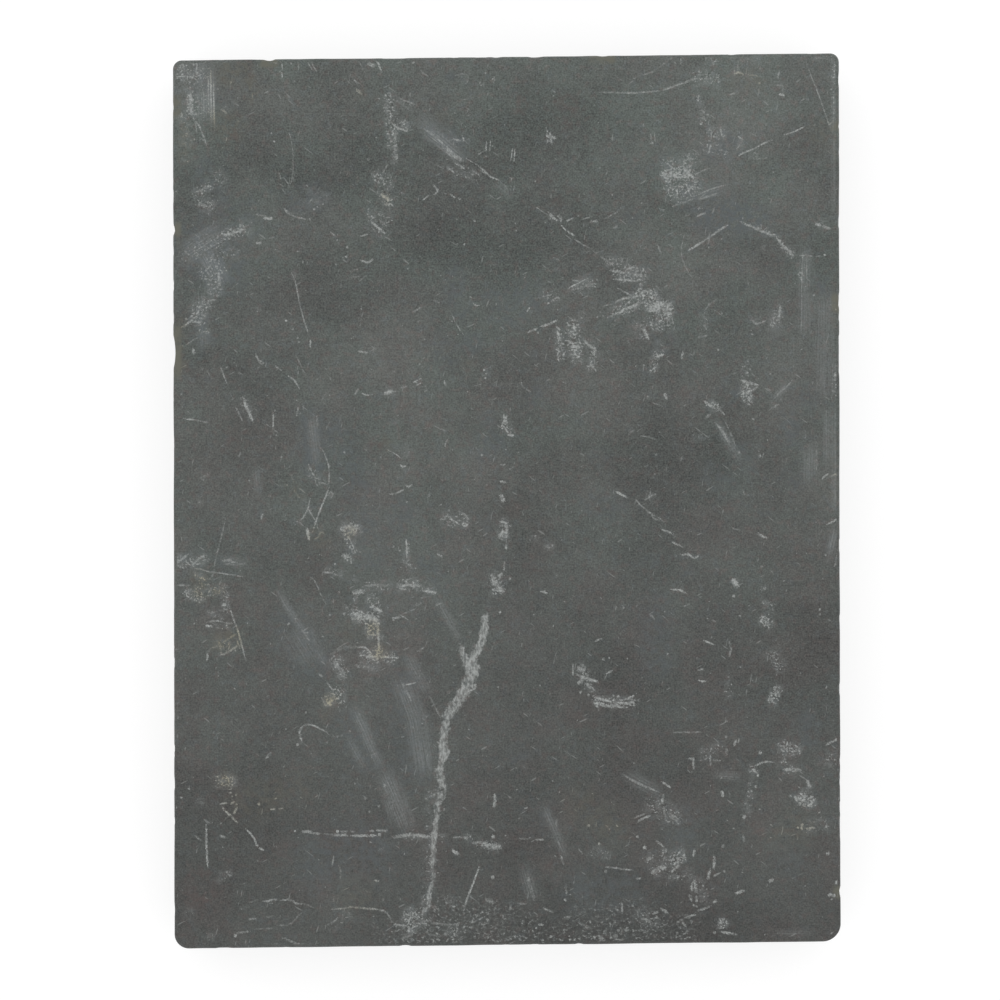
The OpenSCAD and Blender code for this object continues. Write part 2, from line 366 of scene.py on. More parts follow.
# Each scratch: its width, how pale it is, then x, y, x, y … along it
scratches = [
    (.45, .6, -107.8, 131.8, -105, 128.5, -104.2, 125, -103, 122, -102.4, 121),
    (.5, .55, -101.8, 145.5, -101.3, 138, -101, 133, -100.7, 130),
    (.5, .65, -75, 127, -74, 124.5, -73.4, 121.5, -73.2, 118, -73.2, 113, -73.6, 110, -74.3, 108),
    (.4, .5, -74.6, 112, -74.3, 109.5, -75, 107.5), (.4, .5, -72.6, 112.5, -73.3, 109, -73.2, 106),
    (.5, .6, -76.6, 111, -75.2, 109.2, -74.3, 107.5), (.6, .6, -77.3, 107.3, -75.8, 105.3),
    (.5, .5, -78.3, 117, -77.9, 115), (.6, .65, -78, 112.5, -77.4, 110.3),
    (.7, .6, -83, 139.8, -81.8, 140.2), (.7, .8, -65.2, 147.2, -66.3, 149, -67, 150.8),
    (.6, .7, -66.8, 148, -68.3, 150.5), (.6, .6, -48.8, 147, -50.4, 150.3),
    (1.6, .9, -47.3, 149.8, -45.8, 149.2), (.9, .9, -42.9, 147, -43.6, 149, -44.6, 151),
    (.8, .7, -52.2, 144.3, -51, 142.6), (1.3, .8, -51.3, 140.8, -49.8, 139.6),
    (1.2, 1, -83.2, 96.9, -80.6, 96.8), (.8, .6, -86, 98.2, -82.8, 97.6),
    (.9, .8, -76.2, 100.3, -75, 98.6, -73.6, 97.8), (.8, .75, -74.4, 98.2, -72, 97.2, -69, 96.6),
    (.6, .5, -74.8, 98.6, -71.5, 98.6), (.6, .9, -77, 149.6, -76.9, 147.8), (.7, 1, -77, 146.6, -77, 145.3),
    (.6, .8, -75.5, 150.6, -75.5, 149.8), (.8, .8, -74.1, 150.7, -73.9, 149.9),
    (.7, .7, -71.3, 149.6, -71.3, 147.9), (.8, .6, -79.6, 150.2, -78.4, 149.8),
    (.6, .6, -78.3, 139.5, -77.5, 138), (.9, .9, -113, 145.4, -110, 145.5, -107, 144.8),
    (.9, .8, -112.8, 149.5, -111, 150.2, -110.5, 147.5),
    (1.5, 1, -108.4, 139.5, -108.4, 135.5, -107.9, 132.6), (.8, .8, -108, 132.4, -105, 132.7),
    (.8, .7, -106, 150.2, -106.7, 146), (1.1, .8, -111.6, 132.8, -111.4, 131.6),
    (.7, .6, -109.4, 151, -106.8, 149.2), (.9, .7, -97.6, 133.9, -96, 132.8),
    (.9, .7, -106.6, 105.8, -104.2, 106.8, -101.8, 107.6), (1.3, .85, -105.2, 101.8, -103.4, 101.2),
    (1, .75, -102.5, 102.2, -101.4, 100.2), (1.1, .7, -94, 92.6, -91, 93.6, -89, 94.4),
    (.6, .6, -85.6, 101.8, -84.6, 103.4), (.6, .7, -67.8, 102, -66.6, 103.8),
    (.9, .8, -46.2, 112, -44.2, 110.6, -42, 110.4), (.7, .7, -41, 115, -42.4, 112.2),
    (1.6, 1, -42.6, 105, -40.6, 103.2), (.9, .8, -41.6, 101.6, -39.6, 101.8),
    (1.1, .95, -46.2, 95.6, -44, 93.6, -41.6, 91.6), (.6, .7, -47.4, 97.4, -45.2, 97.2),
    (.6, .8, -42, 97, -40, 97.2), (.8, .7, -36.6, 138, -34, 136.8, -31.3, 135.8),
    (1, .8, -39, 128.8, -37.2, 127.8, -34.2, 126.8), (.8, .8, -36, 128.6, -34.8, 130.6),
    (1, .65, -38, 127, -38.5, 122, -38, 119, -38.8, 116), (1.4, .9, -37.8, 118.4, -37.8, 117.4),
    (.8, .85, -28.4, 127.6, -24.4, 125), (.9, .8, -24.2, 124.8, -21.6, 122),
    (2, .75, -20.4, 120.6, -18.4, 118.4, -15.6, 116.8), (.6, .8, -22, 121, -19, 118),
    (.5, .8, -13.8, 117.3, -11, 115.7, -10, 115),
    (.8, .9, -10, 115, -7.5, 113, -5.5, 111, -3.8, 110.4, -2.2, 109.8), (.5, .7, -9.8, 113.8, -6.8, 111.8),
    (.5, .5, -2.3, 109.5, -.6, 107.9, .6, 106.6), (.6, .8, 10.3, 100.5, 12.5, 99, 14.3, 97.8),
    (.6, .7, 14.3, 99, 16, 97.6), (.9, .95, 15, 98, 16, 96.8, 17.2, 96.4), (.7, .9, 17.6, 97.4, 19, 96.2),
    (.8, .8, 20.6, 96, 22.8, 96.9), (.7, .75, 26.3, 96.6, 28.2, 97.2), (1.2, .9, 28.8, 95.7, 30.8, 95.9),
    (.6, .7, 33.6, 96.8, 36, 98, 38.4, 99.2), (.7, .9, 18.9, 94.2, 20.2, 92.8),
    (1, .85, -18, 124, -16.2, 123.5), (.9, .9, -15, 124.4, -14.8, 123.8),
    (.5, .5, -14.5, 123.3, -12.8, 122), (.7, .95, -7, 123, -7.1, 119.8), (.5, 1, -5.6, 123.2, -5.8, 119.8),
    (.6, .6, -9.6, 118.8, -7.6, 119.9), (.6, .9, 2, 121, 1.7, 118.4, 1.4, 116.7),
    (.7, 1, 2.8, 120.4, 2.7, 118.5, 2.5, 116.8), (.6, .75, 1.7, 110.5, 1.6, 109.2),
    (.5, .7, 1.5, 108, 1.4, 106.4), (.5, .7, 2.5, 107.6, 2.4, 106.4), (.6, .9, 13.5, 128, 14, 126.4),
    (1.4, 1, 14, 125, 16.3, 124.4), (.9, .95, 14.9, 126.2, 15.4, 122.6), (.9, .9, 14, 123.6, 13.8, 122.8),
    (.6, .5, -28, 117, -25, 115.5, -22.5, 114.4), (.7, .8, -20, 114, -18.8, 113.3, -18, 112.4),
    (.9, .9, -17.5, 115.6, -15.8, 114.8, -14.6, 114), (.8, .8, -11.6, 113.2, -9.6, 111.8),
    (.8, .95, -25, 108, -23.6, 106.8, -24, 105.4, -25, 105), (.8, 1, -26.8, 104.6, -28.6, 103.3),
    (.6, .5, -22.4, 105.6, -20.4, 105.3), (.8, .9, -19.2, 105, -17.8, 104),
    (1, .85, -16.5, 103.7, -16.1, 103.5), (.5, .5, -39, 104.6, -36, 104.1, -33.5, 103.8),
    (.7, .5, -17.4, 145.8, -15.5, 146.4, -13.5, 146, -12.9, 144.6, -14, 143),
    (.8, .55, 41, 144, 43, 144.5, 46.5, 146, 49.5, 146.8, 52, 148.3, 55, 150.7, 57.5, 152.2),
    (.9, .7, 31, 140, 36, 140, 40, 139.8, 44, 139.8, 49, 140.2, 53, 140.6),
    (1, .75, 53, 140.6, 57, 142, 61, 143.3, 63.5, 144.5, 66, 144.8), (.9, .8, 67.8, 144.7, 70.2, 144.9),
    (.5, .7, 59.6, 151.8, 59.7, 149.6), (.9, .75, 70, 151.5, 70.8, 149.8), (.8, .65, 71, 150.7, 73, 150.6),
    (.7, .7, 76.6, 151.8, 78.2, 151.8), (.7, .65, 79.3, 150.4, 79.2, 148.6),
    (1, 1, 78.2, 146.6, 79.7, 146.9, 80.9, 146.3), (.8, .65, 82.8, 146, 84.4, 146, 86, 145.5),
    (1, .8, 76.7, 139.3, 78.4, 139.7), (.8, .8, 93.3, 147, 93, 145.3), (.7, .6, 92.7, 142.4, 94.4, 142.2),
    (1.2, 1, 93.8, 139.3, 94.8, 139.1),
    (.45, .7, 102.3, 151.7, 104, 146.5, 106.5, 140, 109.5, 131.5, 110.5, 129),
    (.6, .8, 110.6, 128.8, 111, 130, 112, 129.8), (.7, .5, 100.8, 137, 102.3, 138, 103.6, 137.3),
    (1, .75, 65.8, 138.6, 65.6, 138), (.7, .6, 65.3, 137, 65.2, 136.2), (.9, .8, 67, 134, 67.8, 132.8),
    (.9, .75, 67.7, 131.4, 67.6, 130.6), (1, .9, 66.8, 129.5, 66.6, 129.2),
    (.5, .8, 49.4, 125.8, 49.5, 123.2), (.5, .8, 50.6, 126, 50.9, 123.4), (.9, 1, 49.5, 122.7, 50, 122.5),
    (.8, .75, 70, 127, 70.2, 124.2), (.9, .85, 73.2, 127.6, 73.8, 125.2), (.9, .8, 71.4, 124.8, 72.6, 124),
    (1, .75, 70, 122, 69.2, 119.4), (.7, .8, 79.4, 124.8, 80.8, 124), (.7, .8, 79.7, 121.8, 79, 120.8),
    (.9, .85, 79.7, 118.5, 81, 119.2, 83, 120, 85, 120.8), (.8, .9, 85, 120.7, 88, 122.5, 91, 123.7),
    (.7, 1, 95.2, 125.5, 98, 126.3, 102, 128.2), (.9, .7, 85, 119.4, 85.8, 119),
    (.7, .65, 84.6, 117.4, 85.6, 116.9, 86.6, 117.3), (1.6, 1, 54, 112, 57, 111.6, 59, 112.4),
    (1.2, 1, 54.2, 111, 55, 110.6), (1, .9, 56, 115, 58, 113), (1.4, 1, 60.5, 114.6, 62, 112.5, 63.6, 111),
    (.9, .9, 60, 111, 62.2, 111.6), (.9, .75, 61, 117.2, 60.5, 115), (.8, .75, 62, 118, 63, 116.8),
    (.7, .85, 64, 111.5, 66.5, 113, 69.5, 114), (.8, .55, 57, 101, 60, 102, 63.5, 103.5),
    (.7, .65, 64.5, 104.5, 68, 106, 72, 107.5, 75.5, 108.3), (1, .7, 65.5, 103.5, 69, 104.3, 72, 105.3),
    (.8, .75, 52.4, 100, 53.9, 99.6), (.8, .9, 65.2, 97.5, 66.5, 98.2, 68, 98.7),
    (.8, .85, 71.5, 92, 73.5, 93.3, 75.5, 94.4), (1, .9, 80.3, 95.6, 82.3, 94.5, 84, 94),
    (.8, .85, 84, 94, 86, 93.3, 88, 92.5, 90, 91.5), (1.5, .9, 106.3, 94.9, 107.2, 94.6),
    (.8, .65, 107.4, 96.4, 108.6, 95.8), (1.2, .85, 108.5, 94, 110.5, 93.4),
    (.9, .6, 107, 151.8, 108.8, 151.6), (1.3, .85, -96.6, 91, -93, 92, -90.4, 93.2),
    (.8, .55, -94.5, 83, -91.6, 86), (1.4, .8, -98.6, 78, -98.4, 74), (.8, .6, -108, 83.6, -110.2, 85.4),
    (.7, .5, -101.2, 73.6, -100.4, 70.2), (.9, .8, -102.2, 68.6, -100.4, 68.8),
    (.7, .55, -104.5, 70, -104, 67), (.9, .85, -111.2, 59.5, -108.5, 61.5, -106, 63.5),
    (1, .9, -107.4, 61.4, -105, 61.2), (.7, .65, -109.8, 53.5, -107.8, 55, -106.2, 55.8),
    (1.3, .95, -107.4, 52, -107.2, 50.6), (.7, .8, -98, 46, -97, 43, -95.9, 40.2),
    (.7, .7, -102.6, 44.6, -101.8, 43), (.5, .5, -94.8, 37, -93.7, 34.6), (.6, .6, -92.6, 31.8, -91.4, 30),
    (.9, .75, -86, 50, -85, 48.3, -83.6, 47.4), (.7, .65, -79.2, 46.2, -77.2, 44.6),
    (.8, .9, -74.8, 42.8, -72.6, 41.2, -71.2, 38.7),
    (.7, .75, -73.6, 78, -72.5, 75.5, -71.8, 72, -70.8, 67, -69.6, 62, -68.5, 59, -67.8, 56.5),
    (.8, .9, -67.3, 55, -67.3, 52.8), (.7, .6, -72.3, 50, -71, 47.3, -69.8, 44.8, -69, 43.3),
    (1.1, .85, -85.6, 88.4, -84.4, 88.4), (.8, .5, -81.4, 90, -79.8, 90.4),
    (.8, .6, -79.2, 86.2, -78.2, 85.6), (.8, .85, -60.5, 92.3, -58.8, 90.8),
    (.8, .8, -49.8, 90.8, -47.8, 91.3), (1, .9, -49.8, 82.3, -47.5, 81.6, -45.8, 82.7),
    (.7, .5, -53.5, 78.6, -51, 79.5), (.8, .55, -55, 76, -52.5, 76.8, -50, 77),
    (.9, .65, -50, 76, -48, 77.3), (.6, .8, -49.9, 67, -49.8, 65.5), (.4, .5, -49.9, 64, -50.1, 60),
    (.9, .85, -50.7, 51.2, -49, 51, -47.8, 50.8), (.9, .8, -51.9, 36.6, -51, 38.4),
    (.8, .85, -49.5, 36.8, -48, 36.2, -46, 36.6), (1.8, 1, -41.3, 36.8, -39.6, 37.6),
    (.6, .5, -63.5, 34.2, -62, 36.8), (.9, .9, 20.8, 92.4, 23, 91),
    (.8, .8, 23.4, 89.5, 26, 88, 28.5, 86.5), (.6, .6, 29.3, 86, 30.5, 84.9, 32, 85.4, 34, 86.2),
    (.9, .75, 32.5, 83.5, 34.5, 82.3, 36, 81), (1.2, .9, 35.5, 79, 38, 78.5, 40, 78.2),
    (.7, .75, -8.6, 81.9, -8.2, 83.8), (.9, .5, 16.4, 83.5, 17.8, 82.5),
    (.7, .95, 21.3, 73, 24, 74.5, 28, 76.2), (.7, .8, 22.8, 75.6, 24.6, 75.3),
    (1.2, .55, 21.4, 72, 24, 72.8, 27, 73.8, 30, 74.5), (.9, .85, 12.5, 70, 15, 70.6),
    (.8, .8, 15.5, 68.5, 17.3, 69.8), (.9, 1, 7, 65, 7.7, 66.1),
    (.9, .75, -32, 64.9, -30.6, 65.5, -29.5, 66.3), (.9, .6, -25, 68.7, -23.4, 68.1),
    (.7, .9, -11.4, 67.6, -10.7, 66.9, -9.5, 67), (.6, .65, -18.6, 63.5, -17.5, 61, -16, 58.5, -14.8, 57),
    (1, .95, 7.5, 57.9, 10.3, 59), (1.1, 1, 12, 59.8, 15, 60.7, 17, 61.8),
    (.7, .5, -8.8, 54, -7.5, 53.2, -6.3, 52.7), (.5, .5, -8, 44.9, -6.4, 45.5, -4, 46.6),
    (.9, .9, -39, 37.4, -38, 37.6), (.9, .8, -36, 38.8, -34.3, 39.3), (.8, .95, -31.8, 40.7, -29.6, 41.8),
    (.7, .9, -31, 39.6, -29.6, 40.3), (.6, .6, -27.8, 39.4, -27.3, 37.8), (1, .9, -21.4, 41, -21, 39.8),
    (.5, .5, -18.5, 39, -17.7, 37.7), (.7, .55, -10.9, 39.4, -9, 39.9), (.5, .5, -9.6, 34.8, -8.9, 33.3),
    (.8, .55, 4.5, 40.3, 6, 38.8, 8, 37.5), (.9, .9, 17.1, 59.6, 18.4, 58.5),
    (1.3, 1, 17.5, 57.6, 17.9, 54.8), (1.2, 1, 17.6, 52, 17.7, 48.6), (1.2, 1, 22.8, 60.4, 23.3, 58.4),
    (1.2, 1, 20.9, 54.8, 22.8, 54), (1.5, 1, 22.5, 52.8, 25.5, 52.9), (.9, .95, 23, 51.5, 23.5, 50.2),
    (1.4, .85, 26.8, 54.8, 28, 53.6, 29.2, 52.6), (.9, .8, 29.9, 52.6, 30, 50),
    (.7, .6, 30, 49, 30.2, 46.9), (1, .9, 27.8, 46, 29.4, 46.6), (.9, .9, 29.3, 46, 30.6, 44.6),
    (.6, .55, 32, 66, 34, 67, 37, 67.6), (.9, .7, 34.8, 63, 37.3, 64), (1, 1, 62.5, 86, 65, 87.5, 67.5, 89),
    (.9, .85, 67.5, 89.2, 70, 90.8, 72.5, 92.4, 75, 94),
    (.6, .65, 60.8, 91, 60.2, 89, 59.8, 86.5, 60, 83.5, 61, 80.8, 62.5, 78, 63.9, 75.8),
    (.9, .8, 84.5, 93.5, 87, 92.5, 90, 91.3, 92, 90.5),
    (1.1, .95, 92.3, 90.5, 93.5, 88.8, 95, 87.2, 97, 85.5, 98, 84.2), (.6, .8, 100.4, 84.1, 102.2, 84.2),
    (.6, .75, 103.3, 84, 104.7, 83.9), (.6, .6, 106, 83.8, 107.6, 84), (.8, .7, 51.8, 87.5, 52.9, 84.9),
    (1.1, .8, 41, 79.6, 43.4, 80), (1, .75, 42, 77.8, 44, 77.6, 46, 77), (.8, .65, 46, 77.9, 47.1, 76),
    (.9, .95, 36.6, 76, 41, 75.7, 44.5, 75.2, 46, 75.8), (.8, .7, 45.5, 74.5, 46.3, 73),
    (.8, .75, 38.3, 72.8, 41, 71.3, 43.5, 69.8), (1.1, .9, 37, 68, 40, 69.4, 43, 69.9, 45.5, 70.5),
    (1.4, .9, 45.8, 71, 47.5, 71.8, 49, 71.6), (1.5, .95, 38, 64.3, 40.5, 65.6, 43.5, 66.8, 46, 68),
    (2.6, 1, 49.4, 65.6, 51.6, 67.4), (2.2, .85, 54.6, 64, 55.6, 66.8), (.7, .8, 56.8, 62.7, 57, 60.9),
    (.8, .65, 51.3, 73.5, 53.2, 71.6), (1.7, 1, 47, 58.6, 48.4, 55.8), (1.2, 1, 51.8, 49.5, 53.4, 50.1),
    (.9, .9, 60.4, 51, 60, 48.9), (1.2, 1, 54.2, 36.6, 54.8, 35.2), (.6, .7, 50, 33.6, 52, 33, 53.5, 32.5),
    (.8, .65, 67.9, 65.2, 69, 66.8, 70.3, 68, 71.6, 68.9), (.9, .7, 65.8, 56.1, 68.6, 56.6),
    (.9, .8, 84, 62, 85.5, 60.6, 87, 61, 88.5, 61.6), (1, .85, 93.7, 66.5, 93.5, 64, 93, 62.2),
    (.7, .6, 91.5, 62, 91, 59.4), (.6, .5, 82.5, 75.6, 83, 73.4), (.8, .6, 101.4, 84, 101.4, 80, 101, 75),
    (1.2, .95, 80.7, 41.3, 83, 40.5, 86, 39.8), (1, .8, 86.2, 39.4, 84.3, 37.8),
    (.9, .8, 81.5, 34, 83.3, 33), (.8, .6, 97.8, 41.3, 96.4, 39.5, 94, 37.5, 92, 35.5),
    (.9, .6, 90, 31.2, 93, 33), (1.2, 1, 68, 34, 69.5, 32.8, 71, 32), (.6, .7, 70.8, 34.6, 71.2, 32.6),
    (.9, .85, 72, 32.2, 74.4, 29.8), (.6, .5, 76, 43, 78.6, 43.9),
    (.8, 1, -110.6, 28.2, -107, 27.8, -105, 27.3), (.7, .6, -104.7, 27.3, -102.3, 26.9),
    (.7, .7, -93, 32, -91.5, 29.5, -90.5, 27),
    (1.3, 1, -90.2, 35, -89.6, 33, -88.7, 31, -87.7, 29, -87.2, 27.8),
    (.7, .85, -80, 30, -80, 27, -80.1, 25), (.8, .8, -71.4, 32, -72, 29.3), (.9, .5, -65, 29, -64.8, 25),
    (.7, .75, -64, 18.5, -62.5, 16.3, -61.8, 14.5, -61, 12, -60.8, 9, -61, 5),
    (.8, .95, -60.9, 4.6, -61.8, 2, -63, -.8, -64.3, -4, -65.3, -6.8, -66.3, -10),
    (.6, .8, -61.5, 1.8, -60.2, 3.3, -59.3, 2.6, -60, 1.2),
    (.7, .85, -67.3, 1, -67.8, -1.5, -68.5, -3.5, -70, -6, -71.3, -7.2),
    (.6, .8, -72, -7, -71, -7.3, -69.3, -8.9), (.7, .8, -68.2, -2.3, -67, -4.5, -65.7, -6.5),
    (.6, .6, -65.3, -6.7, -64.6, -9.8), (1.4, .95, -68.3, -9.8, -67.8, -12.9),
    (.7, .55, -64.4, -11.6, -63.8, -10.2, -62.4, -11.4), (.7, .85, -67.8, 12.3, -66.8, 9.8, -65.5, 7.8),
    (.7, .8, -68.2, 8.6, -66, 8), (.7, .6, -66, 8, -64.8, 5), (.6, .6, -65.3, 7.7, -63.3, 7.9),
    (.9, .8, -64.6, 6.2, -62.6, 6), (.7, .5, -75, 9.3, -73.8, 8.9, -73, 6.5),
    (.8, .5, -74, 4.5, -72.5, 3, -71, 1), (.9, .5, -105, 7.8, -102.4, 9),
    (.8, .8, -84.2, -6.2, -83.7, -4.6),
    (.7, .6, -96.3, -6, -97, -9, -98, -13, -99, -17, -100, -21, -100.5, -25),
    (.8, .7, -100.5, -25, -101.5, -26.8, -102.4, -26.8),
    (1.1, .8, -113.5, -21.5, -112, -20.5, -109.5, -18.5), (.9, .8, -113.2, -22, -110.8, -23),
    (1.1, .75, -107.8, -22, -105.8, -20, -103.8, -18.8),
    (.7, .75, -107.5, -23, -105, -23.4, -102, -24.3, -99, -24.6, -94.5, -25.3, -90.5, -26),
    (1.2, .8, -97, -20.5, -94.7, -20.3, -93.5, -21.2), (.9, .5, -96.5, -21.7, -93, -21.7, -89.5, -21.4),
    (.9, .8, -112.5, -28.9, -108.5, -29), (.5, .5, -102.4, -26.7, -99.8, -26.9, -97.8, -25.6),
    (1.8, .8, -56, -9.2, -53.5, -8.8, -51.3, -9.4), (.5, .9, -54.3, -12, -52.5, -16, -51.8, -17.8),
    (1.6, .85, -56, -18.7, -54, -19), (.9, .7, -53.6, -19.6, -53.2, -21.4),
    (.9, .8, -62.8, -24.4, -59.8, -24.7), (.8, .7, -59.2, -25, -57, -25.8),
    (.7, .6, -56.5, -24, -54.6, -24), (.6, .8, -66.4, -26.5, -65, -29, -63.8, -31.5),
    (1.1, .6, -48.5, -29, -44.5, -28.8, -40.5, -29.2), (.6, .85, -40.7, 17.5, -37.5, 15.7, -36.3, 14.6),
    (.8, .8, -40, 2.4, -39, 2.1, -36.5, 3.2, -35.3, 4), (.8, .95, -36.3, 12.3, -35.5, 11.5, -34.8, 11.9),
    (.8, .6, -23, 24.8, -21, 24), (.7, .85, -20.4, 20.8, -21.3, 19, -21, 18.6), (.8, .8, -1, 29.6, -.9, 28),
    (.6, 1, -1.6, 26.3, -.7, 28, .2, 27, -.5, 25.9), (.9, 1, -1.3, 25.8, 0, 24.2, .7, 23),
    (1.2, .95, .6, 22.8, 2, 22.4), (.7, 1, -2.2, 12.4, -.6, 12.4), (1, 1, -1.9, 6.7, -.8, 6.4),
    (1.9, 1, -1.8, 1.6, -1.2, .2), (.8, .95, -34.5, 5.3, -33.5, 4.8, -32.6, 5.4),
    (.9, .6, -22.8, -6.5, -20.5, -6), (.9, .95, -20, -5.2, -18.5, -6.8, -16.4, -7.9),
    (1.1, .8, -15, -4.2, -13.4, -6), (.6, 1, -15.2, -7.6, -14.3, -7.2, -13.5, -8.3, -14.4, -9, -15.2, -8.2),
    (.9, .9, -2.3, -7.1, -.6, -7.4), (1.7, .9, -.3, -8.4, .2, -10, -.3, -12),
    (1.9, 1, -2.4, -12.2, -1.2, -10.7), (1.1, .8, -.2, -15.2, -.3, -16.2), (.8, .85, -.7, -20.8, -1, -24),
    (2.8, .95, -4.8, -26, -4, -28.4), (1.7, .95, -2.6, -25.6, -1.9, -25.3),
    (2.1, .85, -3.6, -29.6, -1.5, -30.8), (.8, 1, -34.5, -13, -34.3, -15, -34.2, -19),
    (.6, .6, -36.5, -21, -34, -21.5, -32.3, -23), (1.2, .95, -36.5, -29.2, -34, -28.8, -30.5, -29),
    (.8, .75, -35, -27.6, -33, -26.5), (.9, .9, -27, -31, -25, -31.4), (.8, .8, -23.7, -18.3, -22, -19),
    (.7, .5, 13, -15.5, 15, -16), (1, .7, 68.1, 28.4, 69.9, 29.7),
    (1.1, .75, 71.4, 26.7, 73.4, 24.7, 75.9, 20.4), (.8, .6, 75.2, 26.5, 77, 22.4, 78.2, 19.4),
    (.7, .6, 81, 3.7, 81.5, 2.2, 82.8, 2), (.8, .5, 50.6, 9.2, 50.2, 8.1), (.7, .6, 42, 23, 43.4, 24.2),
    (.8, .5, 40.3, 26.3, 42, 25.6), (.8, .6, 46, 22.2, 48.5, 22, 51.2, 21),
    (.7, .5, 52.3, 23.6, 53.5, 23.2), (1, .95, 37.5, 3.2, 40, 1.8, 41.2, 1.2),
    (.8, .85, 44.2, .5, 45.8, -1.4, 47.3, -2.7, 48.6, -3.7, 49.8, -4.7),
    (.9, .7, 49.6, -4.4, 50.2, -5.8, 51.4, -6.4), (.6, .7, 50.2, -4.8, 52.5, -6, 54.2, -7.5),
    (.9, .7, 47.4, .2, 48.9, 1.4, 51, 2.3), (.7, .5, 49.3, 4.2, 49, 2), (.6, .5, 52.5, -8, 53.3, -9.6),
    (.9, 1, 53.4, -10, 54.8, -10.4, 56.3, -11), (.6, .5, 56.5, -11.5, 58.5, -12.4),
    (.9, .9, 57, -14.3, 58.7, -15, 60.1, -15.7),
    (.9, .95, 59.6, -18.2, 60.5, -18.5, 62, -18, 63, -18.8, 64.3, -19.7, 65.3, -19.2, 66, -18.5),
    (.9, .7, 77.7, -9.4, 79.9, -10), (1.2, .95, 86.3, -11.3, 87.3, -12, 89, -12.6),
    (2.3, .95, 77.8, -27.3, 78.8, -29), (1, 1, 56.6, -30.4, 59.5, -30.5, 61.3, -31.6),
    (.9, .95, 108.1, 7.7, 109.9, 9.2), (.7, .8, 109.6, 7.6, 111.4, 8.3), (.8, .9, 111, 8.6, 113.5, 9.3),
    (.9, .9, 110, -7.9, 112, -7, 113.7, -6), (1, .85, 112.4, -22.2, 113.6, -18.3),
    (.8, .5, 102.3, 24, 102.3, 21.5), (.8, .5, 106.2, 18, 106.2, 11),
    (.6, .7, -64.2, -31, -63, -33.5, -62, -35.4),
    (.8, .9, -95, -36.5, -93.3, -41.4, -91.9, -45.2, -90.9, -49, -89.6, -54),
    (.6, .6, -92.5, -47.5, -91.3, -51), (.7, .7, -98.5, -37.6, -96.8, -37.4),
    (.7, .6, -101.5, -38.6, -99.6, -38), (.8, .75, -102.5, -41.5, -99.5, -41, -97, -41.6),
    (.8, .8, -96, -41.8, -94.3, -42), (1.1, 1, -103, -42.8, -101, -43), (.7, .6, -99.5, -43.3, -97.5, -44),
    (.9, .7, -97, -48.3, -95, -47, -93, -45.8), (1, .8, -98, -52.8, -96, -52.2, -94, -50.8, -92, -49.5),
    (1.1, .6, -98.8, -48.5, -98, -50, -98, -52.5), (.9, .5, -102.7, -52, -101.5, -50.5, -99.5, -50),
    (1, 1, -102.5, -52.6, -102.7, -54.5), (.7, .5, -99.3, -54.5, -98.8, -52.5),
    (.7, .6, -94.4, -75, -93.9, -76.6), (1.2, .8, -82.3, -88, -80.8, -86.3),
    (.8, .6, -70, -44.5, -67.5, -48), (2, 1, -52.2, -31.4, -49.2, -31), (1.5, 1, -45, -37, -43.2, -37.6),
    (2.4, 1, -52, -38.6, -50, -40, -47, -40, -45, -40.5), (.9, .6, -52.6, -41.5, -51, -42),
    (1.1, .7, -47.5, -44, -47.5, -47), (1.2, .9, -44.5, -41, -44, -46, -43.8, -51),
    (.7, .5, -42.5, -46, -43, -50), (1.3, .5, -60, -52.5, -57, -50.5, -54, -50, -51, -50),
    (.9, .95, -51, -50.2, -49, -50, -47.5, -51, -46.5, -52.5),
    (1.2, .95, -49, -53, -46, -53.5, -43, -53.4, -40, -53.6), (.9, 1, -51.5, -56.3, -50.7, -56.9),
    (.8, .7, -48.5, -56.7, -46, -57.8, -44, -57), (1.8, .7, -59, -55.5, -57, -58, -55.5, -60.5),
    (.9, .9, -64.2, -59.3, -63.2, -60.5), (.7, .8, -61.8, -62, -60.5, -63.6, -59.3, -65.5),
    (1.5, .9, -62, -69.8, -60.5, -69, -59, -67), (.6, .7, -63.5, -67.5, -62.3, -69.5),
    (.9, .9, -70.3, -82, -71, -80, -71, -78.5, -69.8, -77.2, -68.3, -76.6, -66.5, -76.8, -64.5, -77.8,
     -62.5, -78.8, -61.3, -79.7), (.8, .6, -59.5, -81.3, -57, -80.4),
    (.9, .95, -14.2, -65.5, -10.4, -64.2, -10.9, -62.2), (.8, .7, -26.6, -66.5, -22.8, -74.1),
    (.9, .7, -36, -62, -35, -64, -32.7, -68.5), (.7, .85, -34.4, -63, -31.4, -62.4),
    (.9, .95, -39, -53.6, -37.2, -53.8), (1, .95, -39, -40.2, -36.5, -39.9),
    (.7, .75, -36.5, -39.1, -34, -40.6), (.7, .6, -36.5, -39.1, -31.4, -37.1),
    (.9, .7, -31.2, -35.8, -29.4, -35.1), (.8, .5, -29.4, -33.3, -27.9, -33),
    (1.2, 1, -28.4, -30.8, -24.3, -31.5), (1.2, .95, -4.6, -30.5, -1.3, -31),
    (1, .95, 11.9, -31.1, 13.7, -31.5), (.8, .6, -35, -51, -33.4, -50.3),
    (.9, .6, -30.4, -51.5, -28.4, -50.3), (.9, .85, 30.6, -48, 32.4, -47.2),
    (.9, .9, 34.4, -59, 36.2, -58.1), (.8, .9, 22.7, -56.1, 22.7, -59.7),
    (1.8, .9, 24.8, -57.4, 26.3, -58.1), (.8, .7, 25.6, -56.4, 26.8, -56.9),
    (1.3, 1, 24.3, -59.7, 27.5, -60.8, 31.2, -62), (1.6, .9, 24.8, -62.5, 26.1, -60.9),
    (1.3, .9, 27.4, -62.9, 28.9, -64), (.8, .8, 30.1, -65, 29.4, -64.2),
    (1, 1, 29.9, -67, 31.4, -67.8, 36, -68.8), (1.1, 1, 29.9, -69.3, 33.2, -69.4),
